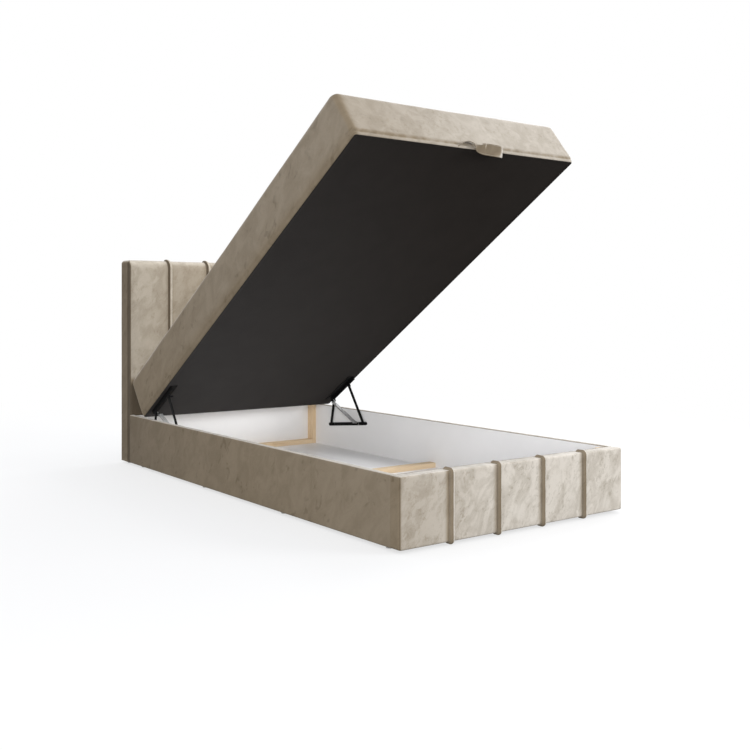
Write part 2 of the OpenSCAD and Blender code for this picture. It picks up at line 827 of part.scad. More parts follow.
// Smooth course through a table, at s from 0 to 1.
function course(t, s) = let (
    n = len(t) - 1, i = min(floor(s * n), n - 1), f = s * n - i,
    a = t[max(i - 1, 0)], b = t[i], c = t[i + 1], d = t[min(i + 2, n)])
    b + f * (c - a) / 2 + f * f * (a - 5 / 2 * b + 2 * c - d / 2)
    + f * f * f * (3 / 2 * (b - c) + (d - a) / 2);

function strap_ring(s) = let (
    mid = [strap_off + strap_span * course(strap_x_shares, s),
        -bed_l + lid_seam_dip / 2 - strap_bow * course(strap_out_shares, s),
        strap_bow * course(strap_up_shares, s)],
    turn = course(strap_turns, s),
    w = strap_w / 2 * course(strap_w_shares, s) * [0, -cos(turn), sin(turn)],
    t = strap_t / 2 * [0, sin(turn), cos(turn)])
    [mid + w + t, mid + w - t, mid - w - t, mid - w + t];

module pull_strap() {
    points = [for (k = [0:strap_rings]) each strap_ring(k / strap_rings)];
    walls = [for (k = [0:strap_rings - 1]) for (i = [0:3]) let (
        j = (i + 1) % 4, a = k * 4, b = a + 4) each [[a + i, b + j, b + i], [a + i, a + j, b + j]]];
    ends = [[3, 2, 1, 0], [for (i = [0:3]) strap_rings * 4 + i]];
    color(cloth_front) raised() polyhedron(points, concat(walls, ends));
}

// Angle rail under the lid, with ears round its pins.
module lid_rail() {
    y0 = -lid_pin_front - lid_rail_front;
    l = lid_pin_front + lid_rail_front - lid_pin_rear + lid_rail_rear;
    ear_r = link_w / 2 + ear_rim;
    color(steel_black) raised() {
        plate(lid_rail_x, lid_rail_t) difference() {
            union() {
                translate([y0, dust_up - lid_rail_leg]) square([l, lid_rail_leg]);
                for (a = [lid_pin_rear, lid_pin_front]) translate([-a, -lid_pin_drop]) {
                    circle(r = ear_r);
                    translate([-ear_r, 0]) square([2 * ear_r, lid_pin_drop]);
                }
            }
            translate([-lid_pin_rear, -lid_pin_drop]) circle(hole_r);
        }
        difference() {
            block(flange_x, lid_rail_x, y0, y0 + l, dust_up - lid_rail_t, dust_up);
            rail_screw_holes();
        }
    }
}

lid_screw_ys = [for (i = [1:lid_screws])
    -lid_pin_front + (lid_pin_front - lid_pin_rear) * i / (lid_screws + 1)];
lid_screw_x = flange_x + lid_rail_flange / 2 - screw_d;

module lid_screw_shape(d, z0, z1) {
    for (y = lid_screw_ys) translate([lid_screw_x, y, z0]) cylinder(d = d, h = z1 - z0);
}

// Screw holes of both rails, through flange, black cloth and frame.
module rail_screw_holes() {
    both_sides() lid_screw_shape(screw_d + 2 * pin_clear, dust_up - lid_rail_t - overrun,
        lid_frame_z + screw_l);
}

module lid_rail_screws() {
    low = dust_up - lid_rail_t;
    color(steel_black) raised() both_sides() {
        lid_screw_shape(screw_d, low - screw_d / 2, lid_frame_z + screw_l);
        lid_screw_shape(screw_head_d, low - screw_d / 2, low);
    }
}

module lid_rail_pins() {
    color("#3a3938") both_sides() {
        pin(rear_top, pin_d, pin_head_x, lid_rail_x + lid_rail_t);
        pin(rear_top, pin_head_d, pin_head_x, pin_head_x + pin_head_t);
    }
}

mirror([1, 0, 0]) side_board();  // side_board_left
side_board();  // side_board_right
mirror([1, 0, 0]) side_cover();  // side_cover_left
side_cover();  // side_cover_right
head_panel();
foot_board();
foot_padding();
foot_roll(1);  // foot_roll_1
foot_roll(2);  // foot_roll_2
foot_roll(3);  // foot_roll_3
foot_roll(4);  // foot_roll_4
mirror([1, 0, 0]) corner_post(true);  // corner_post_head_left
corner_post(true);  // corner_post_head_right
mirror([1, 0, 0]) corner_post(false);  // corner_post_foot_left
corner_post(false);  // corner_post_foot_right
head_batten();
middle_batten();
floor_sheet(middle_y + sheet_gap, head_in_y - sheet_gap);  // floor_sheet_head
floor_sheet(foot_in_y + sheet_gap, middle_y - sheet_gap);  // floor_sheet_foot
mirror([1, 0, 0]) floor_cleat();  // floor_cleat_left
floor_cleat();  // floor_cleat_right
floor_cross_rail();
floor_glides();
headboard_frame();
headboard_face_board();
headboard_border();
headboard_cushion();
headboard_roll(1);  // headboard_roll_1
headboard_roll(2);  // headboard_roll_2
headboard_roll(3);  // headboard_roll_3
headboard_roll(4);  // headboard_roll_4
headboard_back_cloth();
headboard_bolts();
mirror([1, 0, 0]) base_rail();  // base_rail_left
base_rail();  // base_rail_right
base_rail_screws();
base_rail_pins();
mirror([1, 0, 0]) link(rear_foot, rear_top);  // rear_link_left
link(rear_foot, rear_top);  // rear_link_right
mirror([1, 0, 0]) link(front_foot, front_top);  // front_link_left
link(front_foot, front_top);  // front_link_right
front_link_pins();
mirror([1, 0, 0]) spring_foot();  // spring_foot_left
spring_foot();  // spring_foot_right
mirror([1, 0, 0]) spring_coils();  // spring_coils_left
spring_coils();  // spring_coils_right
mirror([1, 0, 0]) spring_head();  // spring_head_left
spring_head();  // spring_head_right
spring_head_pins();
lid_frame();
lid_slats();
lid_spring_core();
lid_foam_pad();
lid_cover();
lid_dust_cloth();
pull_strap();
mirror([1, 0, 0]) lid_rail();  // lid_rail_left
lid_rail();  // lid_rail_right
lid_rail_pins();
lid_rail_screws();
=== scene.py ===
import json
import math

import bmesh
import bpy
import numpy as np
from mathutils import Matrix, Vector


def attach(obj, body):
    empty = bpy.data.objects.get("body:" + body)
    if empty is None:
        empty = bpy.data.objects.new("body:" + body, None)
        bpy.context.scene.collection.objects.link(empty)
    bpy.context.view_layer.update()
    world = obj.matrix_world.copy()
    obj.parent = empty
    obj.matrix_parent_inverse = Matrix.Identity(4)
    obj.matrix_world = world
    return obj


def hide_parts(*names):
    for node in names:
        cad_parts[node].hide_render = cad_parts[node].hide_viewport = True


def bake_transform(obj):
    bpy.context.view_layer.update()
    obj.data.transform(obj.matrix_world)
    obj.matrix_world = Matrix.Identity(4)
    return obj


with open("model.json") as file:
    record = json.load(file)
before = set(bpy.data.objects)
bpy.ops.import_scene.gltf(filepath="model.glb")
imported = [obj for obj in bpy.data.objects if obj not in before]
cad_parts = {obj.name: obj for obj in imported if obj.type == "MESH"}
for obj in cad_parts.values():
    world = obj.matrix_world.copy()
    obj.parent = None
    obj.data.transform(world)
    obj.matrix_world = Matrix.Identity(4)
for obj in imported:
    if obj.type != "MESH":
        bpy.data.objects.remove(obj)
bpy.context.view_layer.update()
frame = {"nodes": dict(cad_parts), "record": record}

# Sizes of the bed in metres, as in its drawing. Below LID_SHADE_TOP the headboard's cushion gets a
# painted shadow of the raised lid.
HALF_W = 0.600
BED_L = 2.0
FOOT_Y = -1.04525
HEAD_Y = FOOT_Y + BED_L
BACK_Y = HEAD_Y + 0.100
BASE_Z, BASE_TOP = 0.012, 0.259
BOARD_LOW, BOARD_TOP = BASE_Z + 0.0035, BASE_TOP - 0.0035
SIDE_IN = 0.576
FOOT_IN = FOOT_Y + 0.048
CUSHION_BACK = HEAD_Y + 0.026
HEAD_TOP = BASE_Z + 1.055
HEAD_R = 0.042
LID_SHADE_TOP = 0.47

# Sewn rolls: where they stand, how wide and high they are, how deep the channel is that they lie
# in, and their painted shade and highlight as a share of the pale cloth, from the left edge, -1, to
# the right edge, 1: the left flank in painted shade, a painted highlight right of the crest.
ROLL_X = [-0.36, -0.12, 0.12, 0.36]
ROLL_H, CHANNEL = 0.011, 0.0015
HEAD_ROLL_W, FOOT_ROLL_W = 0.025, 0.019
HEAD_ROLL_NAP_AND_SHADE = ([-1.0, -0.85, -0.42, -0.22, 0.85, 1.0], [-0.30, -0.55, -0.55, 0.95, 0.90, 0.10])
FOOT_ROLL_NAP_AND_SHADE = ([-1.0, -0.70, -0.35, -0.18, -0.06, 0.50, 0.72, 1.0],
                 [0.12, 0.05, -0.15, -0.60, 1.0, 1.0, -0.10, -0.30])
FOOT_ROLL_END = FOOT_Y + 0.036

# Lid: worked out flat, then raised by its angle about its lower rear edge.
LID_T, LID_L, LID_BULGE = 0.2175, 2.0, 0.0075
LID_R, LID_EDGE_R = 0.015, 0.032
LID_ANGLE = math.radians(35.8)
LID_EDGE = (0.80440, BASE_TOP + 0.0045)
LID_MIDDLE = np.array([0, -LID_L / 2])
SEAM_TOP = 0.0215

# Spring packs, seen from the side as [y, z]: the stud, the head's eye, and a coil's gap to both.
STUD = np.array([0.5127663, 0.1843242])
HEAD_EYE = np.array([0.7216458, 0.2923598])
EYE_GAP = 0.0193
COIL_X = {"outer": 0.55925, "inner": 0.54725}

# Where the pull strap's hems run, as a share of its half width.
HEM = 0.84


# Shapes

def grid_faces(rows, cols, close_cols=False):
    """Quads between neighbouring points of a rows by cols grid, going round its columns where
    closed."""
    steps_across = cols if close_cols else cols - 1
    i, j = np.meshgrid(np.arange(rows - 1), np.arange(steps_across), indexing="ij")
    k, m = i + 1, (j + 1) % cols
    return np.stack([i * cols + j, k * cols + j, k * cols + m, i * cols + m], -1).reshape(-1, 4)


def ends_of(rows, cols):
    """Caps over the first and last row of a grid whose rows are closed loops."""
    return [list(range(cols))[::-1], list(range((rows - 1) * cols, rows * cols))]


def make_piece(name, grids, smooth=True):
    """One mesh from closed shells of points, faces and caps.
    The sum of the tetrahedra between a shell's triangles and the origin is its volume; where it is
    below 0 the shell's faces are turned round, so that every face looks outwards."""
    points, faces, start = [], [], 0
    for pts, quads, caps in grids:
        pts = pts.reshape(-1, 3)
        quads = np.asarray(quads)
        tri = np.concatenate([quads[:, [0, 1, 2]], quads[:, [0, 2, 3]]])
        extra = [[cap[0], cap[i], cap[i + 1]] for cap in caps for i in range(1, len(cap) - 1)]
        if extra:
            tri = np.concatenate([tri, np.array(extra)])
        a, b, c = (pts[tri[:, k]] for k in range(3))
        loops = quads.tolist() + [list(cap) for cap in caps]
        if np.einsum("ij,ij->i", a, np.cross(b, c)).sum() < 0:
            loops = [loop[::-1] for loop in loops]
        faces += [[v + start for v in loop] for loop in loops]
        points.append(pts)
        start += len(pts)
    mesh = bpy.data.meshes.new(name)
    mesh.from_pydata(np.concatenate(points).tolist(), [], faces)
    mesh.polygons.foreach_set("use_smooth", np.full(len(mesh.polygons), smooth))
    mesh.validate()
    mesh.update()
    made = bpy.data.objects.new(name, mesh)
    bpy.context.scene.collection.objects.link(made)
    return made


def tube(name, grid, capped=True):
    """A piece from one grid whose rows are closed loops, with a cap over both ends where asked."""
    rows, cols = grid.shape[:2]
    caps = ends_of(rows, cols) if capped else []
    return make_piece(name, [(grid, grid_faces(rows, cols, close_cols=True), caps)])


def stacked(rows):
    """Grid of points from rows of an outline in the X-Y plane, its height, and anything else."""
    return np.stack([np.column_stack([row[0], np.full(len(row[0]), row[1])]) for row in rows])


def soft(x, y, z, scale, seed):
    """Smooth uneven field between about -1 and 1: a sum of nine sines in mixed directions."""
    turn = np.random.default_rng(seed)
    total = np.zeros(np.broadcast(x, y, z).shape)
    for _ in range(9):
        d = turn.normal(size=3)
        d /= np.linalg.norm(d)
        f = scale * (0.6 + 1.2 * turn.random())
        total = total + np.sin(f * (d[0] * x + d[1] * y + d[2] * z) + turn.random() * 6.3)
    return total / 4.5


def corner(centre, r, a0, a1, n):
    """Points and outward directions along an arc from angle a0 to a1, in degrees."""
    a = np.radians(np.linspace(a0, a1, n))
    d = np.stack([np.cos(a), np.sin(a)], -1)
    return np.asarray(centre) + r * d, d


def onward(centre, r, a0, a1, n):
    """The same arc without its first point, to follow on from a line that ends there."""
    return tuple(v[1:] for v in corner(centre, r, a0, a1, n))


def straight(p, q, n, out):
    """Points from p to q, without p, all with one outward direction."""
    t = np.linspace(0, 1, n + 1)[1:, None]
    pts = (1 - t) * np.asarray(p) + t * np.asarray(q)
    return pts, np.tile(np.asarray(out, float), (n, 1))


def short_of_end(p, q, n, out):
    """The same line without its last point too, to close a loop that starts there."""
    return tuple(v[:-1] for v in straight(p, q, n, out))


def joined(parts):
    """One path from several: all their points and all their outward directions."""
    return [np.concatenate([part[k] for part in parts]) for k in range(2)]


def step(value, low, high):
    """Smooth step from 0 at low to 1 at high: 3 t squared less 2 t cubed."""
    t = np.clip((value - low) / (high - low), 0, 1)
    return t * t * (3 - 2 * t)


def bell(value, middle, width):
    """1 at the middle, falling off to both sides as exp of less the squared distance in widths."""
    return np.exp(-((value - middle) / width) ** 2)


def crown(s):
    """Height of a cushioned panel across its width, 0 at its channels and 1 in its middle: the square
    root of 1 less the sixth power of the distance from the middle in half widths."""
    return np.sqrt(np.clip(1 - np.abs(2 * s - 1) ** 6, 0, 1))


def channelled_front(half, front, back, roll_w):
    """Plan of a pad from its left rear end round to its right rear end. Between two rolls its front
    stands full, and at a roll it falls back by the channel's depth times 1 less the crown. Returns
    the outline, its outward directions and each point's share of the way across its panel."""
    r = 0.012
    near_back = back - 0.001
    left = joined([straight((-half, back), (-half, near_back), 1, (-1, 0)),
                   straight((-half, near_back), (-half, front + r), 8, (-1, 0))])
    face_x = np.linspace(-half + r, half - r, 361)[1:-1]
    face = np.stack([face_x, np.full_like(face_x, front)], -1)
    right = joined([straight((half, front + r), (half, near_back), 8, (1, 0)),
                    straight((half, near_back), (half, back), 1, (1, 0))])
    pts, outs = joined([([[-half, back]], [[-1, 0]]), left,
                        corner((-half + r, front + r), r, 180, 270, 9),
                        (face, np.tile([0.0, -1.0], (len(face), 1))),
                        corner((half - r, front + r), r, 270, 360, 9), right])
    edges = [v for x in ROLL_X for v in (x - roll_w / 2, x + roll_w / 2)]
    edges = [-half - 0.004] + edges + [half + 0.004]
    s = np.zeros(len(pts))
    for lo, hi in zip(edges[0::2], edges[1::2]):
        inside = (pts[:, 0] >= lo) & (pts[:, 0] <= hi)
        s[inside] = (pts[inside, 0] - lo) / (hi - lo)
    pts[:, 1] += CHANNEL * (1 - crown(s)) * np.clip(-outs[:, 1], 0, 1)
    return pts, outs, s


def marked(piece, name, values):
    """Stores one number for each vertex as the piece's attribute of a name."""
    attribute = piece.data.attributes.new(name, "FLOAT", "POINT")
    attribute.data.foreach_set("value", np.ravel(values).astype(float))
    return piece


def nap(piece, share=None):
    """Vertex attribute of the velvet's lie and of painted shade: 1 for the pale, lit copy of the
    cloth,
    0 for its darker copy with painted shade, below 0 for painted shade in a seam. Without a share of
    its own, cloth gets painted shade where it faces sideways and is pale where it faces an end, up
    or down: 1.35 times 1 less the square of the normal's X."""
    mesh = piece.data
    if share is None:
        normal = np.zeros(len(mesh.vertices) * 3)
        mesh.vertices.foreach_get("normal", normal)
        share = np.clip(1.35 * (1 - normal.reshape(-1, 3)[:, 0] ** 2), 0, 1)
    return marked(piece, "nap", share)


def dust(piece, share):
    """Vertex attribute of how far the black cloth is greyed, from 0 to 1: painted reflection on the
    lid's underside, and greyer towards the bottom on the headboard's back.
    """
    return marked(piece, "dust", np.clip(share, 0, 1))


# Upholstery of the base

def foot_padding():
    """Plan outline carried round a closed section: face, round edges, and a lip over the board.
    Each panel swells by the sine of its share across times the sine of its share of the height."""
    r = 0.008
    plan, outs, s = channelled_front(HALF_W, FOOT_Y, FOOT_IN, FOOT_ROLL_W)
    lip = np.stack([np.clip(plan[:, 0], -SIDE_IN, SIDE_IN), np.full(len(plan), FOOT_IN)], -1)
    board = np.stack([np.clip(plan[:, 0], -HALF_W + 0.006, HALF_W - 0.006),
                      np.maximum(plan[:, 1], FOOT_Y + 0.030)], -1)
    inset = plan - r * outs
    rows = [((1 - t) * lip + t * inset, BASE_Z, 0) for t in (0.0, 0.5)]
    for a in np.radians(np.linspace(-90, 0, 8)):
        rows.append((inset + r * math.cos(a) * outs, BASE_Z + r + r * math.sin(a), 0))
    for t in np.linspace(0, 1, 42)[1:-1]:
        rows.append((plan, BASE_Z + r + t * (BASE_TOP - BASE_Z - 2 * r), math.sin(math.pi * t)))
    for a in np.radians(np.linspace(0, 90, 8)):
        rows.append((inset + r * math.cos(a) * outs, BASE_TOP - r + r * math.sin(a), 0))
    rows += [((1 - t) * inset + t * lip, BASE_TOP, 0) for t in (0.5, 1.0)]
    rows += [(lip, BOARD_TOP, 0), (board, BOARD_TOP, 0), (board, BOARD_LOW, 0), (lip, BOARD_LOW, 0)]
    grid = stacked(rows)
    for i, (xy, z, full) in enumerate(rows):
        if full:
            even = soft(xy[:, 0], xy[:, 1], z, 34, 3) * 0.0005 * crown(s)
            grid[i, :, :2] += (0.0024 * full * np.sin(math.pi * s) + even)[:, None] * outs
    made = tube("foot_padding_cloth", grid.transpose(1, 0, 2))
    # Painted shade: the padding dark on its sides and in a line at the corner seam, darker towards
    # the left, darker on each panel's right edge by a roll, and a painted highlight over its top.
    turned = step(-outs[:, 1], 0.55, 0.98)
    seam = bell(-outs[:, 1], 0.62, 0.16)
    lit = 0.94 - 0.46 * step(plan[:, 0], -0.02, -0.60)
    shade_by_roll = 0.75 * step(s, 0.87, 1.0) * (plan[:, 0] < ROLL_X[-1])
    pale = turned * (lit - shade_by_roll) - 0.5 * seam * (turned < 0.9)
    over = (grid[..., 2] > BASE_TOP - 0.003) * (grid[..., 1] > FOOT_Y + 0.004)
    return nap(made, np.where(over, 1.0, pale[None]).T)


def side_cover(side):
    """Section of the padded cloth over a side board carried along the bed, with a little
    unevenness."""
    r, t = 0.005, 0.006
    top = corner((HALF_W - r, BASE_TOP - r), r, 0, 90, 7)[0]
    low = corner((HALF_W - r, BASE_Z + r), r, -90, 0, 7)[0]
    face = straight(low[-1], top[0], 24, (1, 0))[0][:-1]
    lap, board_out = SIDE_IN + 0.012, HALF_W - t
    section = np.concatenate([[[SIDE_IN, BASE_Z], [lap, BASE_Z]], low, face, top,
                              [[lap, BASE_TOP], [SIDE_IN + 0.0005, BASE_TOP],
                               [SIDE_IN, BASE_TOP - 0.0008], [SIDE_IN, BOARD_TOP],
                               [board_out, BOARD_TOP], [board_out, BOARD_LOW],
                               [SIDE_IN, BOARD_LOW]]])
    along = np.linspace(FOOT_IN, HEAD_Y - 0.0005, 241)
    along = np.sort(np.concatenate([along, [along[0] + 0.0008, along[-1] - 0.0008]]))
    y, i = np.meshgrid(along, np.arange(len(section)), indexing="ij")
    x, z = section[i, 0], section[i, 1]
    outer = (x > HALF_W - 0.002).astype(float)
    x = x + outer * 0.0006 * soft(x, y, z, 22, 5)
    hem = (z > BASE_TOP - 0.001).astype(float) * (x < HALF_W - r)
    z = z + hem * 0.0004 * soft(x, y, z, 60, 6)
    name = "side_cover_cloth_" + ("right" if side > 0 else "left")
    made = tube(name, np.stack([side * x, y, z], -1))
    # Painted shade: the side cloth darker towards the headboard and a little lighter near the foot,
    # with a painted highlight along its top edge.
    painted_shade_along = np.interp(y, [FOOT_Y, -0.2, HEAD_Y], [0.07, 0.0, -0.30])
    edge = step(section[i, 1], BASE_TOP - 0.0025, BASE_TOP - 0.0002)
    return nap(made, edge + (1 - edge) * painted_shade_along)


def sewn_roll(name, x, path, outs, width, nap_and_shade_table, taper):
    """Half oval section carried along a path in [y, z]. Towards both ends its size falls off as the
    square root of 1 less the squared rest of the taper, like a finger tip."""
    d = np.concatenate([[0], np.cumsum(np.linalg.norm(np.diff(path, axis=0), axis=1))])
    near = np.minimum(d, d[-1] - d)
    size = np.sqrt(np.clip(1 - (1 - np.minimum(near / taper, 1)) ** 2, 0.0025, 1))
    a = np.radians(np.linspace(0, 180, 41))
    across = np.concatenate([np.cos(a), [-0.97, 0.97]]) * width / 2
    up = np.concatenate([np.sin(a) ** 0.9 * ROLL_H, [-0.0012, -0.0012]])
    lump = 1 + 0.02 * np.sin(d * 70 + x * 40)
    grid = np.zeros((len(path), len(up), 3))
    grid[:, :, 0] = x + across[None] * (0.4 + 0.6 * size[:, None])
    for k in range(2):
        grid[:, :, 1 + k] = path[:, None, k] + outs[:, None, k] * up[None] * (size * lump)[:, None]
    # Painted shade on each roll's left flank and a painted highlight right of its crest, by its lean.
    lean = np.concatenate([np.cos(a), [-1, 1]])
    return nap(tube(name, grid), np.tile(np.interp(lean, *nap_and_shade_table), (len(path), 1)))


def foot_roll(i):
    """Path of a foot roll: from under the foot board, up its face and over its top edge."""
    r = 0.0065
    y, low, top = FOOT_Y + CHANNEL, BASE_Z + CHANNEL, BASE_TOP - CHANNEL
    start = (y + r + 0.022, low)
    path, outs = joined([([start], [[0, -1]]), straight(start, (y + r, low), 12, (0, -1)),
                         onward((y + r, low + r), r, 270, 180, 9),
                         straight((y, low + r), (y, top - r), 90, (-1, 0)),
                         onward((y + r, top - r), r, 180, 90, 9),
                         straight((y + r, top), (FOOT_ROLL_END, top), 24, (0, 1))])
    name = "foot_roll_cloth_%d" % (i + 1)
    return sewn_roll(name, ROLL_X[i], path, outs, FOOT_ROLL_W, FOOT_ROLL_NAP_AND_SHADE, 0.010)


# Headboard

def headboard_roll(i):
    """Path of a headboard roll: from just over the base, up the cushion and back over its round
    top."""
    r = HEAD_R - CHANNEL
    y, top = HEAD_Y + CHANNEL, HEAD_TOP - CHANNEL
    low = BASE_TOP + ROLL_H
    path, outs = joined([([[y, low]], [[-1, 0]]), straight((y, low), (y, top - r), 160, (-1, 0)),
                         onward((y + r, top - r), r, 180, 90, 21),
                         straight((y + r, top), (y + r + 0.012, top), 4, (0, 1))])
    name = "headboard_roll_cloth_%d" % (i + 1)
    return sewn_roll(name, ROLL_X[i], path, outs, HEAD_ROLL_W, HEAD_ROLL_NAP_AND_SHADE, 0.006)


def headboard_cushion():
    """Plan outline of the channelled cushion carried up its face, over a round top and down its
    back."""
    corner_r = 0.016
    plan, outs, s = channelled_front(HALF_W - 0.004, HEAD_Y, CUSHION_BACK, HEAD_ROLL_W)
    back_line = np.full(len(plan), CUSHION_BACK)
    rows = [(np.stack([plan[:, 0], back_line], -1), BASE_Z, 0), (plan, BASE_Z, 0)]
    shoulder = HEAD_TOP - HEAD_R
    for t in np.linspace(0, 1, 90)[1:]:
        rows.append((plan, BASE_Z + t * (shoulder - BASE_Z), 1))
    front = np.clip(-outs[:, 1], 0, 1)
    last_angle = math.acos(1 - (CUSHION_BACK - HEAD_Y) / HEAD_R)
    for a in np.linspace(0, last_angle, 16)[1:]:
        arc_y = HEAD_Y + HEAD_R * (1 - math.cos(a)) + (plan[:, 1] - HEAD_Y) * front
        up_corner = max(0.0, HEAD_R * math.sin(a) - HEAD_R + corner_r)
        drawn = (corner_r - math.sqrt(corner_r ** 2 - up_corner ** 2)) * outs[:, 0]
        xy = np.stack([plan[:, 0] - drawn, np.clip(arc_y, plan[:, 1], CUSHION_BACK)], -1)
        rows.append((xy, shoulder + HEAD_R * math.sin(a), 0))
    rows.append((np.stack([rows[-1][0][:, 0], back_line], -1), rows[-1][1] - 0.001, 0))
    grid = stacked(rows)
    for i, (xy, z, full) in enumerate(rows):
        if full:
            even = soft(xy[:, 0], xy[:, 1], z, 26, 11) * 0.0008 * crown(s)
            grid[i, :, :2] += (0.0012 * crown(s) + even)[:, None] * outs
    made = tube("headboard_cushion_cloth", grid.transpose(1, 0, 2))
    # Painted shade: the cushion's sides dark, each panel darker towards its channels, the face darker
    # towards the right where the raised lid shades it, a painted highlight along the round top, and
    # below LID_SHADE_TOP a painted shadow of the lid.
    face = step(-outs[:, 1], 0.55, 0.9)
    lit = 0.72 - 0.34 * step(plan[:, 0], -0.56, -0.20)
    pale = face * (lit - 0.2 * (1 - crown(s))) - 0.55 * (1 - face)
    z = grid[..., 2]
    top = step(z, HEAD_TOP - 0.030, HEAD_TOP - 0.004) * front[None]
    behind_lid = step(z, LID_SHADE_TOP, LID_SHADE_TOP - 0.06)
    pale = pale[None] * (1 - behind_lid) - 0.58 * behind_lid
    return nap(made, (pale * (1 - top) + 0.95 * top).T)


def headboard_border():
    """Strip of cloth over the headboard's edge: a flat section with round edges carried up, over
    and down. Where the cushion's top is still rounding off, the strip drops with its circle."""
    r, t, e = 0.020, 0.004, 0.0035
    top = HEAD_TOP - r
    path, outs = joined([([[-HALF_W, BASE_Z]], [[-1, 0]]),
                         straight((-HALF_W, BASE_Z), (-HALF_W, top), 90, (-1, 0)),
                         onward((-HALF_W + r, top), r, 180, 90, 13),
                         straight((-HALF_W + r, HEAD_TOP), (HALF_W - r, HEAD_TOP), 100, (0, 1)),
                         onward((HALF_W - r, top), r, 90, 0, 13),
                         straight((HALF_W, top), (HALF_W, BASE_Z), 90, (1, 0))])
    front = corner((CUSHION_BACK + e, -e), e, 180, 90, 6)[0]
    rear = corner((BACK_Y - e, -e), e, 90, 0, 6)[0]
    flat = straight(front[-1], rear[0], 24, (0, 1))[0][:-1]
    section = np.concatenate([[[CUSHION_BACK, -t - 0.0025]], front, flat, rear, [[BACK_Y, -t]]])
    depth, over = section[:, 0][None], section[:, 1][None]
    uneven = 0.0006 * soft(path[:, :1], depth, path[:, 1:], 24, 13) * (over > -0.0005)
    short = np.clip(HEAD_R - (depth - HEAD_Y), 0, HEAD_R)
    over = over - (HEAD_R - np.sqrt(HEAD_R ** 2 - short ** 2)) * np.clip(outs[:, 1:], 0, 1) ** 2
    grid = np.zeros((len(path), len(section), 3))
    grid[:, :, 0] = path[:, :1] + outs[:, :1] * (over + uneven)
    grid[:, :, 1] = depth
    grid[:, :, 2] = path[:, 1:] + outs[:, 1:] * (over + uneven)
    made = tube("headboard_border_cloth", grid)
    # Painted shade: the border dark on its sides and darker still along its front and back edges,
    # with a painted highlight on its top.
    edge = np.maximum(step(depth, CUSHION_BACK + 0.005, CUSHION_BACK),
                      step(depth, BACK_Y - 0.006, BACK_Y))
    upper = step(outs[:, 1:], 0.3, 0.9)
    return nap(made, 0.8 * upper - 0.30 * (1 - upper) - 0.3 * edge * (outs[:, 1:] < 0.5))


# Lid, worked out flat with its lower rear edge on the X axis, then raised

def raised(points):
    """Turns points of the flat lid about its lower rear edge to the open angle and moves it
    there."""
    s, c = math.sin(LID_ANGLE), math.cos(LID_ANGLE)
    y, z = points[..., 1], points[..., 2]
    return np.stack([points[..., 0], LID_EDGE[0] + y * c + z * s, LID_EDGE[1] - y * s + z * c], -1)


def lid_profile():
    """Inset from the outline, height and share of the bulge of the lid's cloth, from the underside
    up and over: a sewn welt, the seam's groove over it, the plain side and a quarter circle."""
    r = LID_EDGE_R
    low = [(0.0150, 0.0026), (0.0072, 0.0026), (0.0066, 0.0014), (0.0056, 0.0005), (0.0044, 0.0002),
           (0.0032, 0.0006), (0.0021, 0.0016), (0.0014, 0.0032), (0.0012, 0.0055), (0.0016, 0.0085),
           (0.0028, 0.0112), (0.0038, 0.0126), (0.0042, 0.0137), (0.0038, 0.0148), (0.0025, 0.0172),
           (0.0010, SEAM_TOP)]
    bulging = [0.001, 0.006, SEAM_TOP], [0.25, 0.40, 1.0]
    rows = [(inset, z, float(np.interp(z, *bulging))) for inset, z in low]
    for z in np.linspace(SEAM_TOP, LID_T - r, 26)[1:-1]:
        rows.append((0.0010 * max(0.0, 1 - (z - SEAM_TOP) / 0.035), z, 1.0))
    for v in np.radians(np.linspace(4, 90, 14)):
        rows.append((r - r * math.cos(v), LID_T - r + r * math.sin(v), 1.0))
    return rows


def lid_ring(inset, r, fine):
    """The lid's outline seen from above, drawn in by an inset, with corners of radius r; also its
    outward directions."""
    half, rear, foot = HALF_W - inset, -inset, -LID_L + inset
    return joined([corner((half - r, rear - r), r, 0, 90, 14),
                   straight((half - r, rear), (-half + r, rear), fine, (0, 1)),
                   onward((-half + r, rear - r), r, 90, 180, 14),
                   straight((-half, rear - r), (-half, foot + r), 190, (-1, 0)),
                   onward((-half + r, foot + r), r, 180, 270, 14),
                   straight((-half + r, foot), (half - r, foot), fine, (0, -1)),
                   onward((half - r, foot + r), r, 270, 360, 14),
                   short_of_end((half, foot + r), (half, rear - r), 190, (1, 0))])


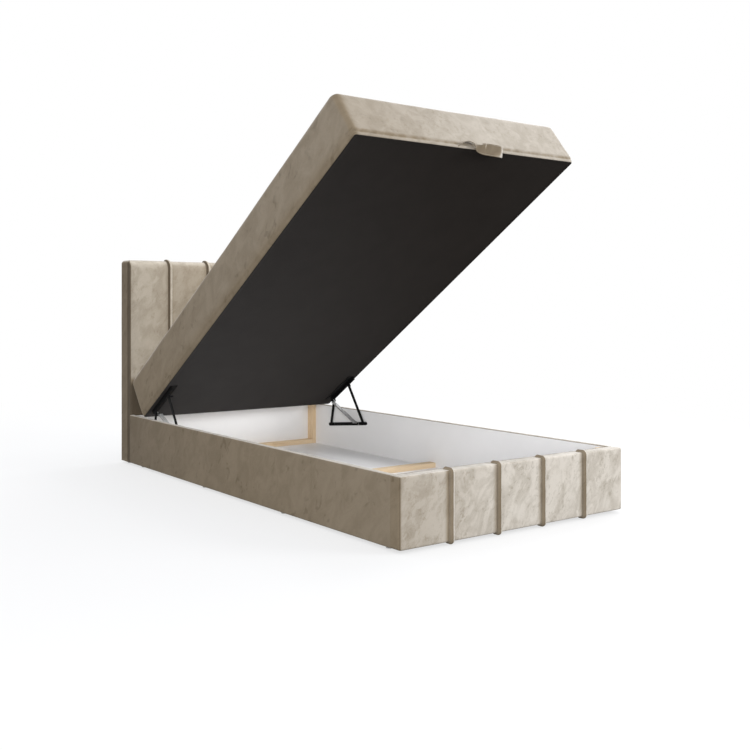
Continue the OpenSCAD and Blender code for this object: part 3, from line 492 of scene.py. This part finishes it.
def lid_cover():
    """Round cornered outline carried up the profile, then drawn in ring by ring over a crowned top.
    Waves run over the sides and the top, and fine puckers along the seam."""
    outs = lid_ring(0, LID_R, 180)[1]
    to_head, to_foot = np.clip(outs[:, 1], 0, 1), np.clip(-outs[:, 1], 0, 1)
    bulge = LID_BULGE * (1 - to_head)[:, None]
    flat = lid_ring(0.015, 0.004, 180)[0]
    rows = [(LID_MIDDLE + (flat - LID_MIDDLE) * t, 0.0026) for t in (0.0, 0.4, 0.8)]
    for inset, n, share in lid_profile():
        groove = max(0.0, inset - 0.0012) if 0.0055 < n < 0.03 else 0.0
        ring_r = max(0.004, LID_R + (0.6 if n > 0.1 else -1.0) * inset)
        ring = lid_ring(inset - groove, ring_r, 180)[0]
        rows.append((ring + (bulge * share - groove * (0.12 + 0.88 * to_foot)[:, None]) * outs, n))
    rim = rows[-1][0] - LID_MIDDLE
    for t in (0.985, 0.96, 0.92, 0.86, 0.78, 0.68, 0.56, 0.42, 0.28, 0.14, 0.0):
        xy = LID_MIDDLE + rim * t
        fall = (1 - (xy[:, 0] / 0.61) ** 4) * (1 - ((xy[:, 1] - LID_MIDDLE[1]) / 1.01) ** 8)
        rows.append((xy, LID_T + 0.006 * fall))
    grid = stacked(rows)
    x, y, z = grid[..., 0], grid[..., 1], grid[..., 2]
    share = np.clip((z - 0.016) / 0.05, 0, 1) * (1 - 0.8 * to_head)[None]
    wave = soft(x, y, z, 17, 21) * 0.0014 + soft(x, y, z, 50, 22) * 0.0004
    below_top = np.clip((LID_T + 0.001 - z) / 0.02, 0, 1)
    grid[..., :2] += (wave * share * below_top)[..., None] * outs[None]
    grid[..., 2] += np.clip((z - 0.19) / 0.015, 0, 1) * (soft(x, y, 0, 9, 23) * 0.0020)
    tuck = bell(z, 0.0150, 0.006) * (z > 0.0052)
    pucker = (soft(x, y, 0, 330, 24) + 0.6 * soft(x, y, 0, 120, 25)) * 0.0007 * tuck
    grid[..., :2] += pucker[..., None] * outs[None]
    made = tube("lid_cover_cloth", raised(grid), capped=False)
    return nap(made, lid_nap_and_shade(x, y, z, outs, to_foot[None]))


def lid_nap_and_shade(x, y, z, outs, foot):
    """Share of the pale, lit cloth on the lid, with painted light and shade: a painted highlight on
    its top, its ends pale and darker towards the left, its sides lighter near the foot and darker
    towards the head and near the lower edge, and painted shade in the seam, in spots along it, and on
    the left foot corner, all with smooth steps."""
    near_left = HALF_W + x
    along = np.abs(outs[:, 1])
    turn = 0.006 + 0.018 * z / LID_T
    left_end = step(near_left, turn - 0.010, turn + 0.022) * step(along, 0.5, 0.98)[None]
    right_end = step(along, 0.10, 0.50)[None] * (x > 0)
    ends = np.maximum(left_end, right_end) * (0.62 - 0.32 * step(x, 0.15, -0.60))
    top = step(z, LID_T - 0.024, LID_T - 0.003)
    # Painted shade in the seam's groove, patchy as if puckered, and on the left foot corner.
    pucker_shade = 0.62 + 0.35 * soft(x, y, 0, 95, 26) + 0.25 * soft(x, y, 0, 380, 27)
    seam = bell(z, 0.0165, 0.0062) * (z > 0.004) * foot ** 4 * np.clip(pucker_shade, 0.3, 1.2)
    corner_dark = bell(near_left, 0.002, 0.006) * (z > 0.004) * (foot > 0.02) * 0.16
    low_side = step(z, 0.060, 0.004) * (1 - foot) * 0.13
    painted_shade_along = np.interp(y, [-LID_L, -1.0, 0.0], [0.16, 0.11, -0.03]) * (1 - foot) * (1 - top)
    return np.maximum(ends, top * 0.9) + painted_shade_along - low_side - 0.62 * seam - corner_dark


def lid_underside():
    """Thin black cloth stretched flat under the lid, its edge turned up against the cover's lower
    edge: a sheet of two layers, its lower one drawn in ring by ring with shallow waves."""
    below = [(0.0026, -0.0004), (0.0032, -0.0010), (0.0046, -0.0012), (0.0075, -0.0011),
             (0.0120, -0.0006), (0.0160, 0.0002), (0.0200, 0.0008), (0.0245, 0.0010)]
    ring = [lid_ring(inset, max(0.003, 0.011 - inset), 60)[0] for inset, _ in below]
    plan = ring[-1] - LID_MIDDLE
    rows = [(LID_MIDDLE + plan * t, 0.0019) for t in (0.0, 0.5, 0.97)]
    rows += [(ring[k], below[k][1] + 0.0008) for k in range(len(below))[::-1]]
    rows += [(ring[k], below[k][1]) for k in range(len(below))]
    lower = len(rows)
    rows += [(LID_MIDDLE + plan * t, 0.0010) for t in np.linspace(1, 0, 22)[1:]]
    grid = stacked(rows)
    x, y = grid[..., 0], grid[..., 1] - LID_MIDDLE[1]
    inner = np.clip((0.53 - np.abs(x)) / 0.06, 0, 1) * np.clip((0.95 - np.abs(y)) / 0.08, 0, 1)
    inner[:lower] = 0
    grid[..., 2] -= inner * np.abs(soft(x, grid[..., 1], 0, 7, 31)) * 0.0010
    made = tube("lid_underside_cloth", raised(grid), capped=False)
    # Painted reflection of the white box: the black underside greyer towards the head end and the
    # left.
    return dust(made, np.clip(0.5 + 0.42 * y - 0.55 * x, 0, 1) ** 1.5)


# Pull strap

def through(table, s):
    """Smooth course through a table of values at even steps, at the shares s from 0 to 1: between
    two values a cubic whose slope at each is half the difference of its neighbours."""
    t = np.asarray(table, float)
    n = len(t) - 1
    i = np.minimum((s * n).astype(int), n - 1)
    f = s * n - i
    a, b, c, d = t[np.maximum(i - 1, 0)], t[i], t[i + 1], t[np.minimum(i + 2, n)]
    square, cube = a - 2.5 * b + 2 * c - d / 2, 1.5 * (b - c) + (d - a) / 2
    return b + f * (c - a) / 2 + f ** 2 * square + f ** 3 * cube


def strap_course(s):
    """Middle line, half width, width, thickness and forward directions of the pull strap at the
    shares s. Its width turns from upright on edge, where it leaves the seam, to hanging flat."""
    x = through([-0.085, -0.072, -0.055, -0.029, -0.006, 0.003,
                 0.012, 0.042, 0.078, 0.112, 0.137, 0.143], s)
    out = through([-0.004, 0.006, 0.014, 0.016, 0.017, 0.018,
                   0.021, 0.024, 0.024, 0.023, 0.012, -0.004], s)
    up = through([0.004, 0.010, 0.016, 0.022, 0.015, -0.001,
                  -0.017, -0.021, -0.022, -0.023, -0.017, -0.004], s)
    half = through([0.004, 0.007, 0.010, 0.011, 0.012, 0.016,
                    0.021, 0.023, 0.023, 0.022, 0.019, 0.012], s)
    flat = through([0, 0, 0, 0, 0.05, 0.40, 0.85, 1, 1, 1, 1, 1], s)[:, None]
    mid = np.stack([x, -LID_L - out, up], -1)
    way = np.gradient(mid, axis=0)
    way /= np.linalg.norm(way, axis=1)[:, None]
    wide = (1 - flat) * np.array([-0.733, -0.434, -0.524]) + flat * np.array([0.0, 0.64, -0.77])
    wide -= np.sum(wide * way, axis=1)[:, None] * way
    wide /= np.linalg.norm(wide, axis=1)[:, None]
    return mid, half, wide, np.cross(way, wide), way


def strap_curl(s):
    """How far the strap's edges curl up at the shares s."""
    return 0.0015 * (np.sin(s * 9 + 1) * step(s, 0.40, 0.55))


def pull_strap():
    """Ribbon with round edges and thicker hems carried along its course, and one crease across."""
    s = np.linspace(0, 1, 181)
    mid, half, wide, thick, _ = strap_course(s)
    u = np.linspace(0, 2 * math.pi, 41)[:-1]
    across = np.sign(np.cos(u)) * np.abs(np.cos(u)) ** 0.5
    over = np.sign(np.sin(u)) * np.abs(np.sin(u)) ** 0.5
    hem = 1 + 0.3 * bell(np.abs(across), HEM, 0.05)
    grid = mid[:, None] + half[:, None, None] * across[None, :, None] * wide[:, None]
    curl = strap_curl(s)[:, None] * (across ** 2)[None]
    crease = bell(s[:, None] + 0.02 * across[None], 0.60, 0.010) * step(across, 0.0, -0.6)[None]
    bend = curl + 0.0016 * crease
    grid = grid + ((0.0013 * over * hem)[None, :] + bend)[..., None] * thick[:, None]
    made = tube("pull_strap_cloth", raised(grid))
    # Painted shade over the strap, with a painted highlight on the fold at its right end, its lower
    # right corner and the crease.
    corner_fold = 0.55 * step(s, 0.66, 0.80)[:, None] * step(across, -0.1, 0.9)[None]
    fold = step(s, 0.80, 0.87)[:, None] + corner_fold
    return nap(made, np.clip(-0.52 + 1.4 * fold + 1.2 * crease, -0.3, 0.9))


def strap_stitches():
    """Short threads in two rows along the strap's hems, on both faces: small six sided rods."""
    s = np.linspace(0.06, 0.93, 70)
    mid, half, wide, thick, way = strap_course(s)
    u = np.radians(np.arange(0, 360, 60))
    w = np.array([-1, -0.8, 0.8, 1]) * 0.0016
    size = np.array([0.35, 1, 1, 0.35]) * 0.00042
    ring = np.cos(u)[None, :, None] * wide[:, None] + np.sin(u)[None, :, None] * thick[:, None]
    shells = []
    for edge, face in ((-HEM, -1), (-HEM, 1), (HEM, -1), (HEM, 1)):
        up = strap_curl(s) * edge ** 2 + face * 0.0016
        centre = mid + edge * half[:, None] * wide + up[:, None] * thick
        rods = centre[:, None, None] + w[None, :, None, None] * way[:, None, None]
        rods = rods + size[None, :, None, None] * ring[:, None]
        shells += [(raised(rod), grid_faces(4, 6, close_cols=True), ends_of(4, 6)) for rod in rods]
    return make_piece("pull_strap_threads", shells)


# Back of the headboard and springs

def headboard_back():
    """Thin black cloth over the headboard's back, stretched flat with a turned-in edge and round
    top corners: the outline drawn in ring by ring on both faces, with shallow waves on the outer
    one."""
    half, r, y = HALF_W - 0.0046, 0.016, BACK_Y - 0.0010
    low, top = BASE_Z + 0.0005, HEAD_TOP - 0.0046
    plan, outs = joined([([[half, low]], [[1, 0]]),
                         straight((half, low), (half, top - r), 60, (1, 0)),
                         onward((half - r, top - r), r, 0, 90, 8),
                         straight((half - r, top), (-half + r, top), 60, (0, 1)),
                         onward((-half + r, top - r), r, 90, 180, 8),
                         straight((-half, top - r), (-half, low), 60, (-1, 0)),
                         short_of_end((-half, low), (half, low), 60, (0, -1))])
    at_corner = (np.abs(plan[:, 0]) > half - 1e-6) & (plan[:, 1] < low + 1e-6)
    outs[at_corner] = np.stack([np.sign(plan[at_corner, 0]), -np.ones(at_corner.sum())], -1)
    middle = np.array([0, (low + top) / 2])
    rows = [(middle + (plan - middle) * t, y) for t in (0.0, 0.5)]
    hem = [(0.0006, 0), (0, 0.0003), (0, 0.0009),
           (0.0008, 0.0013), (0.011, 0.0013), (0.0125, 0.0010)]
    rows += [(plan - inset * outs, y + depth) for inset, depth in hem]
    rim = rows[-1][0] - middle
    rows += [(middle + rim * t, y + 0.0010) for t in np.linspace(1, 0, 20)[1:]]
    grid = stacked(rows)[..., [0, 2, 1]]
    x, z = grid[..., 0], grid[..., 2]
    edge = np.clip((half - 0.02 - np.abs(x)) / 0.08, 0, 1) * np.clip((top - 0.02 - z) / 0.08, 0, 1)
    edge = edge * np.clip((z - low - 0.02) / 0.08, 0, 1) * (grid[..., 1] > y + 0.0009)
    grid[..., 1] += edge * 0.0009 * np.abs(soft(x, 0, z, 8, 41))
    # Greyer towards the bottom of the headboard's back.
    return dust(tube("headboard_back_sheet", grid, capped=False), 0.6 - 0.3 * z)


def spring_coil(name, x, side):
    """Close wound wire: a small circle carried round a helix along the line from the stud to the
    head's eye, with two and a half closed turns at each end."""
    turns, steps, sides, r, wire = 58, 14, 7, 0.0045, 0.00105
    closed_turns, closed_length = 2.5 / turns, 0.006
    line = HEAD_EYE - STUD
    length = np.linalg.norm(line)
    d = line / length
    span = length - 2 * EYE_GAP
    t = np.linspace(0, 1, turns * steps + 1)
    a = 2 * math.pi * turns * t
    along = EYE_GAP + np.interp(t, [0, closed_turns, 1 - closed_turns, 1],
                                [0, closed_length, span - closed_length, span])
    u = np.linspace(0, 2 * math.pi, sides + 1)[:-1]
    out = r + wire * np.cos(u)[None]
    rise = along[:, None] + wire * np.sin(u)[None]
    sideways, upright = out * np.cos(a)[:, None], out * np.sin(a)[:, None]
    grid = np.stack([side * (x + sideways), STUD[0] + rise * d[0] - upright * d[1],
                     STUD[1] + rise * d[1] + upright * d[0]], -1)
    return tube(name, grid)


# Finishes

class Amount:
    """A socket that carries a number; sums and products of amounts add their Math nodes."""

    def __init__(self, nodes, socket):
        self.nodes, self.socket = nodes, socket

    def __add__(self, other):
        return self.nodes.math("ADD", self, other)

    __radd__ = __add__

    def __mul__(self, other):
        return self.nodes.math("MULTIPLY", self, other)

    __rmul__ = __mul__

    def __sub__(self, other):
        return self.nodes.math("SUBTRACT", self, other)

    def __rsub__(self, other):
        return self.nodes.math("SUBTRACT", other, self)


class Nodes:
    """The node tree of a material or of the surround, built node by node."""

    def __init__(self, owner):
        owner.use_nodes = True
        self.tree, self.placed = owner.node_tree, 0

    def node(self, kind, settings, values, out=0):
        """Adds one node: its settings first, then a value or link for each socket, by name or
        number. Returns one of its outputs."""
        made = self.tree.nodes.new(kind)
        made.location = (-200 - 170 * (self.placed % 9), 300 - 220 * (self.placed // 9))
        self.placed += 1
        for key, value in settings.items():
            setattr(made, key, value)
        for key, value in values.items():
            self.join(made.inputs[key], value)
        return Amount(self, made.outputs[out])

    def join(self, socket, value):
        """Links an amount to a socket, or sets the socket's own value; a colour gets alpha 1."""
        if isinstance(value, Amount):
            self.tree.links.new(value.socket, socket)
        elif socket.type == "RGBA":
            socket.default_value = (*value, 1)
        else:
            socket.default_value = value

    def math(self, operation, a, b):
        """One operation on two numbers or amounts."""
        return self.node("ShaderNodeMath", {"operation": operation}, {0: a, 1: b})

    def between(self, value, low, high, to_low=0.0, to_high=1.0):
        """Smooth step from one value at low to another at high."""
        return self.node("ShaderNodeMapRange", {"interpolation_type": "SMOOTHSTEP"},
                         {"Value": value, "From Min": low, "From Max": high,
                          "To Min": to_low, "To Max": to_high})

    def mix(self, share, a, b):
        """Colour a at share 0 and colour b at share 1."""
        return self.node("ShaderNodeMix", {"data_type": "RGBA"}, {0: share, 6: a, 7: b}, 2)

    def rays(self, kind):
        """1 for rays of a kind and 0 for the others."""
        return self.node("ShaderNodeLightPath", {}, {}, kind)

    def seen(self):
        """1 for rays from the camera, a mirror or glass and 0 for the others."""
        mirrored = self.rays("Is Glossy Ray") + self.rays("Is Transmission Ray")
        total = self.rays("Is Camera Ray") + mirrored
        return self.math("MINIMUM", total, 1.0)

    def surface(self, output, share, under, above):
        """Two shaders, mixed by a share, as the surface of an output node."""
        both = self.node("ShaderNodeMixShader", {}, {0: share, 1: under, 2: above})
        self.join(self.tree.nodes[output].inputs["Surface"], both)


class Look(Nodes):
    """A material on a Principled shader, with its patterns on Object coordinates."""

    def __init__(self, name, **values):
        self.material = bpy.data.materials.new(name)
        super().__init__(self.material)
        self.shader = self.tree.nodes["Principled BSDF"]
        self.tree.nodes["Material Output"].location = (400, 0)
        for key, value in values.items():
            self.join(self.shader.inputs[key.replace("_", " ")], value)

    def place(self, along=(1, 0, 0), size=(1, 1, 1)):
        """Object coordinates with the first axis turned along a direction, divided by size."""
        turn = Vector(along).normalized().to_track_quat("X", "Z").to_matrix().to_euler("XYZ")
        at = self.node("ShaderNodeTexCoord", {}, {}, "Object")
        return self.node("ShaderNodeMapping", {"vector_type": "TEXTURE"},
                         {"Vector": at, "Rotation": turn, "Scale": size})

    def noise(self, at, scale, detail=2.0, rough=0.5, bend=0.0):
        """Cloudy noise from about 0.3 to 0.7."""
        return self.node("ShaderNodeTexNoise", {}, {"Vector": at, "Scale": scale, "Detail": detail,
                                                    "Roughness": rough, "Distortion": bend}, "Fac")

    def attribute(self, name):
        """The number that each vertex holds in the attribute of a name."""
        return self.node("ShaderNodeAttribute", {"attribute_name": name}, {}, "Fac")

    def finish(self, colour, roughness, height, strength, distance):
        """Gives the shader its colour, roughness and bump, and returns the material."""
        bump = self.node("ShaderNodeBump", {},
                         {"Strength": strength, "Distance": distance, "Height": height})
        for key, value in (("Base Color", colour), ("Roughness", roughness), ("Normal", bump)):
            self.join(self.shader.inputs[key], value)
        return self.material


# Direction of the brush strokes on the velvet; the colours of its darker copy, which gives the
# sides their painted shade, and of the painted shade in a seam.
SLANT = (0.46, -0.46, 0.76)
SHADED_SIDE_LIGHT, SHADED_SIDE_DARK = (0.275, 0.219, 0.150), (0.172, 0.132, 0.084)
SEAM_SHADE = (0.075, 0.058, 0.040)


def velvet(name, strength, end_light, end_dark):
    """Short velvet: clouds of laid fibres, slanting brush strokes and a fine fleck, on a pale, lit
    copy or a darker copy with painted shade. Strength is how strongly the marks show on the pale
    copy."""
    look = Look(name, Sheen_Weight=0.22, Sheen_Roughness=0.4, Sheen_Tint=(1, 0.96, 0.9),
                Specular_IOR_Level=0.15)
    slanted = look.place(SLANT, (2.2, 1, 1))
    plain = look.place()
    cloud = look.noise(slanted, 15, 5, 0.6, 0.7)
    patch = look.between(look.noise(plain, 9, 3, 0.55, 0.4), 0.40, 0.60)
    grain = look.noise(slanted, 62, 4, 0.72, 0.7)
    fleck = look.noise(plain, 210, 3, 0.7)
    brush = look.noise(look.place(SLANT, (5.0, 1, 1)), 30, 4, 0.55, 0.6)
    stroke = look.between(brush, 0.57, 0.68)
    smear = look.between(brush, 0.43, 0.32)
    nap_and_shade_share = look.attribute("nap")
    laid = look.between(cloud, 0.36, 0.64) * 0.62
    rubbed = look.between(grain, 0.50, 0.66) * (patch * 0.8 + 0.2) * 0.75
    marks = laid - rubbed + smear * 0.45 + (fleck - 0.5) * 0.55 - 0.20
    ends = look.mix(marks * (1.6 - nap_and_shade_share * 0.6) * strength + 0.62, end_dark, end_light)
    calm = look.between(cloud, 0.30, 0.70) * 0.36 + (fleck - 0.5) * 0.35
    calm = calm + (grain - 0.5) * 0.5 + 0.44
    # Painted shade: a darker copy of the velvet where the vertex attribute is low, and below 0 the
    # seam's painted shade.
    sides = look.mix(calm - stroke * patch * 0.60, SHADED_SIDE_DARK, SHADED_SIDE_LIGHT)
    laid_cloth = look.mix(nap_and_shade_share, sides, ends)
    cloth = look.mix(look.between(nap_and_shade_share, 0.0, -0.8), laid_cloth, SEAM_SHADE)
    return look.finish(cloth, look.between(cloud, 0.3, 0.7, 0.9, 0.74),
                       fleck * 0.6 + grain * 0.5 + cloud * 1.2, 0.22, 0.0012)


def laminate(name, colour, faint):
    """White chipboard laminate: nearly even, faintly cloudy, with a fine pearl in its gloss."""
    look = Look(name, Specular_IOR_Level=0.4)
    at = look.place()
    cloud = look.noise(at, 5, 3, 0.5)
    pearl = look.noise(at, 620, 2, 0.6)
    mottled = look.mix(look.between(cloud, 0.3, 0.7) * 0.7 + pearl * 0.3, faint, colour)
    return look.finish(mottled, look.between(pearl, 0.3, 0.7, 0.34, 0.48), pearl, 0.06, 0.0004)


def pine(name, along):
    """Planed pine: wavy rings stretched along the batten, fine pale fibres and resin streaks."""
    look = Look(name, Specular_IOR_Level=0.3)
    at = look.place(along, (14, 1, 1))
    wander = look.noise(at, 7, 3, 0.5, 0.8)
    rings = look.node("ShaderNodeTexWave", {"wave_type": "BANDS", "bands_direction": "Y"},
                      {"Vector": at, "Scale": 22, "Distortion": 7,
                       "Detail": 2, "Detail Scale": 1.2}, "Fac")
    fibre = look.noise(look.place(along, (40, 1, 1)), 420, 3, 0.6)
    streak = look.between(look.noise(at, 34, 2, 0.5), 0.62, 0.74)
    base = look.mix(rings * 0.55 + wander * 0.45, (0.66, 0.47, 0.28), (0.80, 0.62, 0.41))
    with_fibre = look.mix(look.between(fibre, 0.35, 0.7) * 0.35, base, (0.86, 0.71, 0.50))
    streaked = look.mix(streak * 0.4, with_fibre, (0.50, 0.31, 0.15))
    return look.finish(streaked, look.between(fibre, 0.3, 0.7, 0.5, 0.68),
                       fibre * 0.5 + rings * 0.5, 0.12, 0.0005)


def painted_steel():
    """Black powder paint: fine orange peel and a little dusting in clouds."""
    look = Look("black_powder_paint", Specular_IOR_Level=0.08)
    at = look.place()
    peel = look.noise(at, 900, 2, 0.5)
    dusty = look.between(look.noise(at, 40, 4, 0.6), 0.55, 0.8)
    paint = look.mix(dusty * 0.35, (0.005, 0.005, 0.0052), (0.018, 0.017, 0.016))
    return look.finish(paint, look.between(peel, 0.3, 0.7, 0.46, 0.60), peel, 0.15, 0.0003)


def bright_steel():
    """Zinc plated spring wire: cool grey metal with drawn lines along the coil and uneven gloss."""
    look = Look("zinc_wire", Metallic=1.0)
    cloud = look.noise(look.place(), 55, 3, 0.55)
    drawn = look.noise(look.place((0, 0.8851, 0.4654), (12, 1, 1)), 700, 2, 0.6)
    shade = look.between(cloud, 0.3, 0.7) * 0.7 + drawn * 0.3
    zinc = look.mix(shade, (0.34, 0.34, 0.345), (0.60, 0.595, 0.585))
    return look.finish(zinc, look.between(drawn, 0.3, 0.7, 0.28, 0.46), drawn, 0.1, 0.0003)


def black_cloth():
    """Spunbonded black cloth: pressed dots in rows over short random fibres, mixed with a greyed copy
    by a vertex attribute: painted reflection on the lid's underside, greyer low on the headboard's
    back.
    """
    look = Look("black_spunbond", Specular_IOR_Level=0.06)
    at = look.place()
    fibre = look.noise(at, 380, 4, 0.7, 1.2)
    cloud = look.noise(at, 9, 3, 0.5)
    dots = look.node("ShaderNodeTexVoronoi", {"feature": "F1"},
                     {"Vector": at, "Scale": 420, "Randomness": 0.15}, "Distance")
    pressed = look.between(dots, 0.30, 0.18)
    shade = look.between(fibre, 0.3, 0.75) * 0.6 + cloud * 0.4 - pressed * 0.25
    clean = look.mix(shade, (0.0110, 0.0088, 0.0073), (0.0230, 0.0188, 0.0162))
    greyed = look.mix(shade, (0.040, 0.0375, 0.0365), (0.066, 0.0615, 0.0595))
    return look.finish(look.mix(look.attribute("dust"), clean, greyed),
                       look.between(fibre, 0.3, 0.7, 0.7, 0.86),
                       fibre * 0.5 - pressed * 0.6, 0.25, 0.0005)


def plain_foam(name, light, dark, cell):
    """Cut foam or pocket cloth: small cells or fibres."""
    look = Look(name, Specular_IOR_Level=0.2)
    cells = look.noise(look.place(), cell, 3, 0.65)
    return look.finish(look.mix(look.between(cells, 0.3, 0.7), dark, light),
                       look.between(cells, 0.3, 0.7, 0.8, 0.95), cells, 0.3, 0.0008)


def glide_plastic():
    """Pale moulded plastic with a fine spark texture."""
    look = Look("glide_moulding", Specular_IOR_Level=0.45)
    spark = look.noise(look.place(), 800, 2, 0.5)
    return look.finish(look.mix(spark, (0.50, 0.49, 0.47), (0.60, 0.59, 0.57)),
                       look.between(spark, 0.3, 0.7, 0.42, 0.6), spark, 0.15, 0.0003)


def closed(piece):
    """Merges the points that meet at a pole, so that no face has an edge of no length."""
    shell = bmesh.new()
    shell.from_mesh(piece.data)
    bmesh.ops.remove_doubles(shell, verts=shell.verts, dist=1e-6)
    shell.to_mesh(piece.data)
    shell.free()


def dress(piece, material, body=None, node_names=()):
    """Gives a finished piece its material, slot and body, and the CAD nodes that it stands for."""
    piece.data.materials.append(material)
    if body:
        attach(piece, body)
    if node_names:
        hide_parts(*node_names)
    return piece


# Camera at the photograph's place, level, with its picture shifted

eye = bpy.data.cameras.new("camera")
eye.lens, eye.sensor_width, eye.clip_end = 43.285, 36.0, 200.0
eye.shift_x, eye.shift_y = 0.2194, -0.0913
camera = bpy.data.objects.new("camera", eye)
camera.location = (-2.6966, -3.2592, 0.8238)
camera.rotation_euler = (math.pi / 2, 0, math.radians(-31.56))
bpy.context.scene.collection.objects.link(camera)
bpy.context.scene.camera = camera

# Pieces

side_velvet = velvet("velvet_side", 0.5, (0.62, 0.575, 0.51), (0.40, 0.360, 0.30))
front_velvet = velvet("velvet_front", 1.0, (0.62, 0.575, 0.51), (0.40, 0.360, 0.30))
head_velvet = velvet("velvet_head", 0.6, (0.60, 0.545, 0.46), (0.38, 0.330, 0.26))
cloth_black = black_cloth()
steel_black = painted_steel()
steel_bright = bright_steel()


def upholster(piece, body, node_names, material):
    """Gives a padded cloth piece its painted shade by facing, if it has none of its own, closes its
    poles and dresses it.
    """
    if "nap" not in piece.data.attributes:
        nap(piece)
    closed(piece)
    dress(piece, material, body, node_names)


upholster(foot_padding(), "base", ["foot_padding"], front_velvet)
for i in range(len(ROLL_X)):
    nodes = ["foot_roll_%d" % (i + 1)], ["headboard_roll_%d" % (i + 1)]
    upholster(foot_roll(i), "base", nodes[0], front_velvet)
    upholster(headboard_roll(i), "base", nodes[1], head_velvet)
for side, word in ((-1, "left"), (1, "right")):
    upholster(side_cover(side), "base", ["side_cover_" + word], side_velvet)
upholster(headboard_cushion(), "base", ["headboard_cushion"], head_velvet)
upholster(headboard_border(), "base", ["headboard_border"], side_velvet)
upholster(lid_cover(), "lid", ["lid_cover", "lid_foam_pad"], side_velvet)
upholster(pull_strap(), "lid", ["pull_strap"], front_velvet)
# The threads take painted shade by their facing.
dress(nap(strap_stitches()), front_velvet, "lid")

under, rear = lid_underside(), headboard_back()
closed(under)
closed(rear)
dress(under, cloth_black, "lid", ["lid_dust_cloth"])
dress(rear, cloth_black, "base", ["headboard_back_cloth"])

for side, word in ((-1, "left"), (1, "right")):
    for place, x in COIL_X.items():
        coil = spring_coil("spring_coil_%s_%s" % (word, place), x, side)
        dress(coil, steel_bright)
        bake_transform(coil)
        if place == "outer":
            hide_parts("spring_coils_" + word)

# Finishes of the parts that come from the drawing

white = laminate("white_laminate", (0.90, 0.89, 0.88), (0.86, 0.85, 0.84))
floor_white = laminate("floor_laminate", (0.93, 0.92, 0.91), (0.90, 0.89, 0.88))
foam = plain_foam("cut_foam", (0.72, 0.66, 0.50), (0.60, 0.54, 0.38), 420)
fleece = plain_foam("pocket_fleece", (0.74, 0.74, 0.72), (0.62, 0.62, 0.60), 260)
slot_looks = {"white_laminate": white, "floor_board": floor_white,
              "foam": foam, "pocket_cloth": fleece,
              "pine": pine("pine_across", (1, 0, 0)), "glide_plastic": glide_plastic(),
              "black_cloth": cloth_black, "black_steel": steel_black, "spring_steel": steel_bright,
              "side_cloth": side_velvet, "front_cloth": front_velvet}
upright, lengthwise = pine("pine_upright", (0, 0, 1)), pine("pine_lengthwise", (0, 1, 0))
slot_of = {part["node"]: part["material_slot"] for part in frame["record"]["subparts"]}
for name, node in frame["nodes"].items():
    look = slot_looks[slot_of[name]]
    if name.startswith("corner_post"):
        look = upright
    if name.startswith("floor_cleat"):
        look = lengthwise
    if not node.data.materials:
        node.data.materials.append(look)
    for k in range(len(node.data.materials)):
        node.data.materials[k] = look

# Studio: pale floor, a large soft lamp at the front right, one at the front left, one over the open
# box, and an even surround

def lamp(name, place, aim, width, power):
    """A square lamp at a place, turned to shine at its aim."""
    data = bpy.data.lights.new(name, "AREA")
    data.shape, data.size, data.energy = "SQUARE", width, power
    made = bpy.data.objects.new(name, data)
    made.location = place
    made.rotation_euler = (Vector(aim) - Vector(place)).to_track_quat("-Z", "Y").to_euler()
    bpy.context.scene.collection.objects.link(made)


lamp("key", (5.0, -5.2, 2.2), (0.0, -0.3, 0.4), 3.0, 265)
lamp("overhead", (3.2, 0.6, 3.2), (0.1, -0.5, 0.1), 2.4, 110)
lamp("left", (-5.0, -5.6, 1.9), (0.0, -0.2, 0.3), 3.0, 235)

world = bpy.data.worlds.new("surround")
bpy.context.scene.world = world
sky = Nodes(world)
even_light = sky.node("ShaderNodeBackground", {}, {"Color": (0.93, 0.95, 1.0), "Strength": 0.85})
plain_white = sky.node("ShaderNodeBackground", {}, {"Color": (1, 1, 1), "Strength": 1.0})
sky.surface("World Output", sky.seen(), even_light, plain_white)

# The floor goes over to plain white with the distance, between 1.6 m and 4 m from the middle.
FLOOR_HALF = 60
FLOOR_CORNERS = [(-1, -1), (1, -1), (1, 1), (-1, 1)]
pale = Look("studio_floor", Roughness=0.9)
shown = pale.mix(pale.rays("Is Camera Ray"), (0.16, 0.16, 0.16), (0.90, 0.90, 0.90))
pale.join(pale.shader.inputs["Base Color"], shown)
at = pale.node("ShaderNodeTexCoord", {}, {}, "Object")
distance = pale.node("ShaderNodeVectorMath", {"operation": "LENGTH"}, {0: at}, "Value")
glow = pale.node("ShaderNodeEmission", {}, {})
matt = Amount(pale, pale.shader.outputs[0])
far = pale.between(distance, 1.6, 4.0, 0.66, 1.0)
pale.surface("Material Output", pale.seen() * far, matt, glow)
ground = bpy.data.meshes.new("studio_floor")
places = [(x * FLOOR_HALF, y * FLOOR_HALF, 0) for x, y in FLOOR_CORNERS]
ground.from_pydata(places, [], [(0, 1, 2, 3)])
floor = bpy.data.objects.new("studio_floor", ground)
bpy.context.scene.collection.objects.link(floor)
floor.data.materials.append(pale.material)

bpy.context.scene.view_settings.view_transform = "Standard"
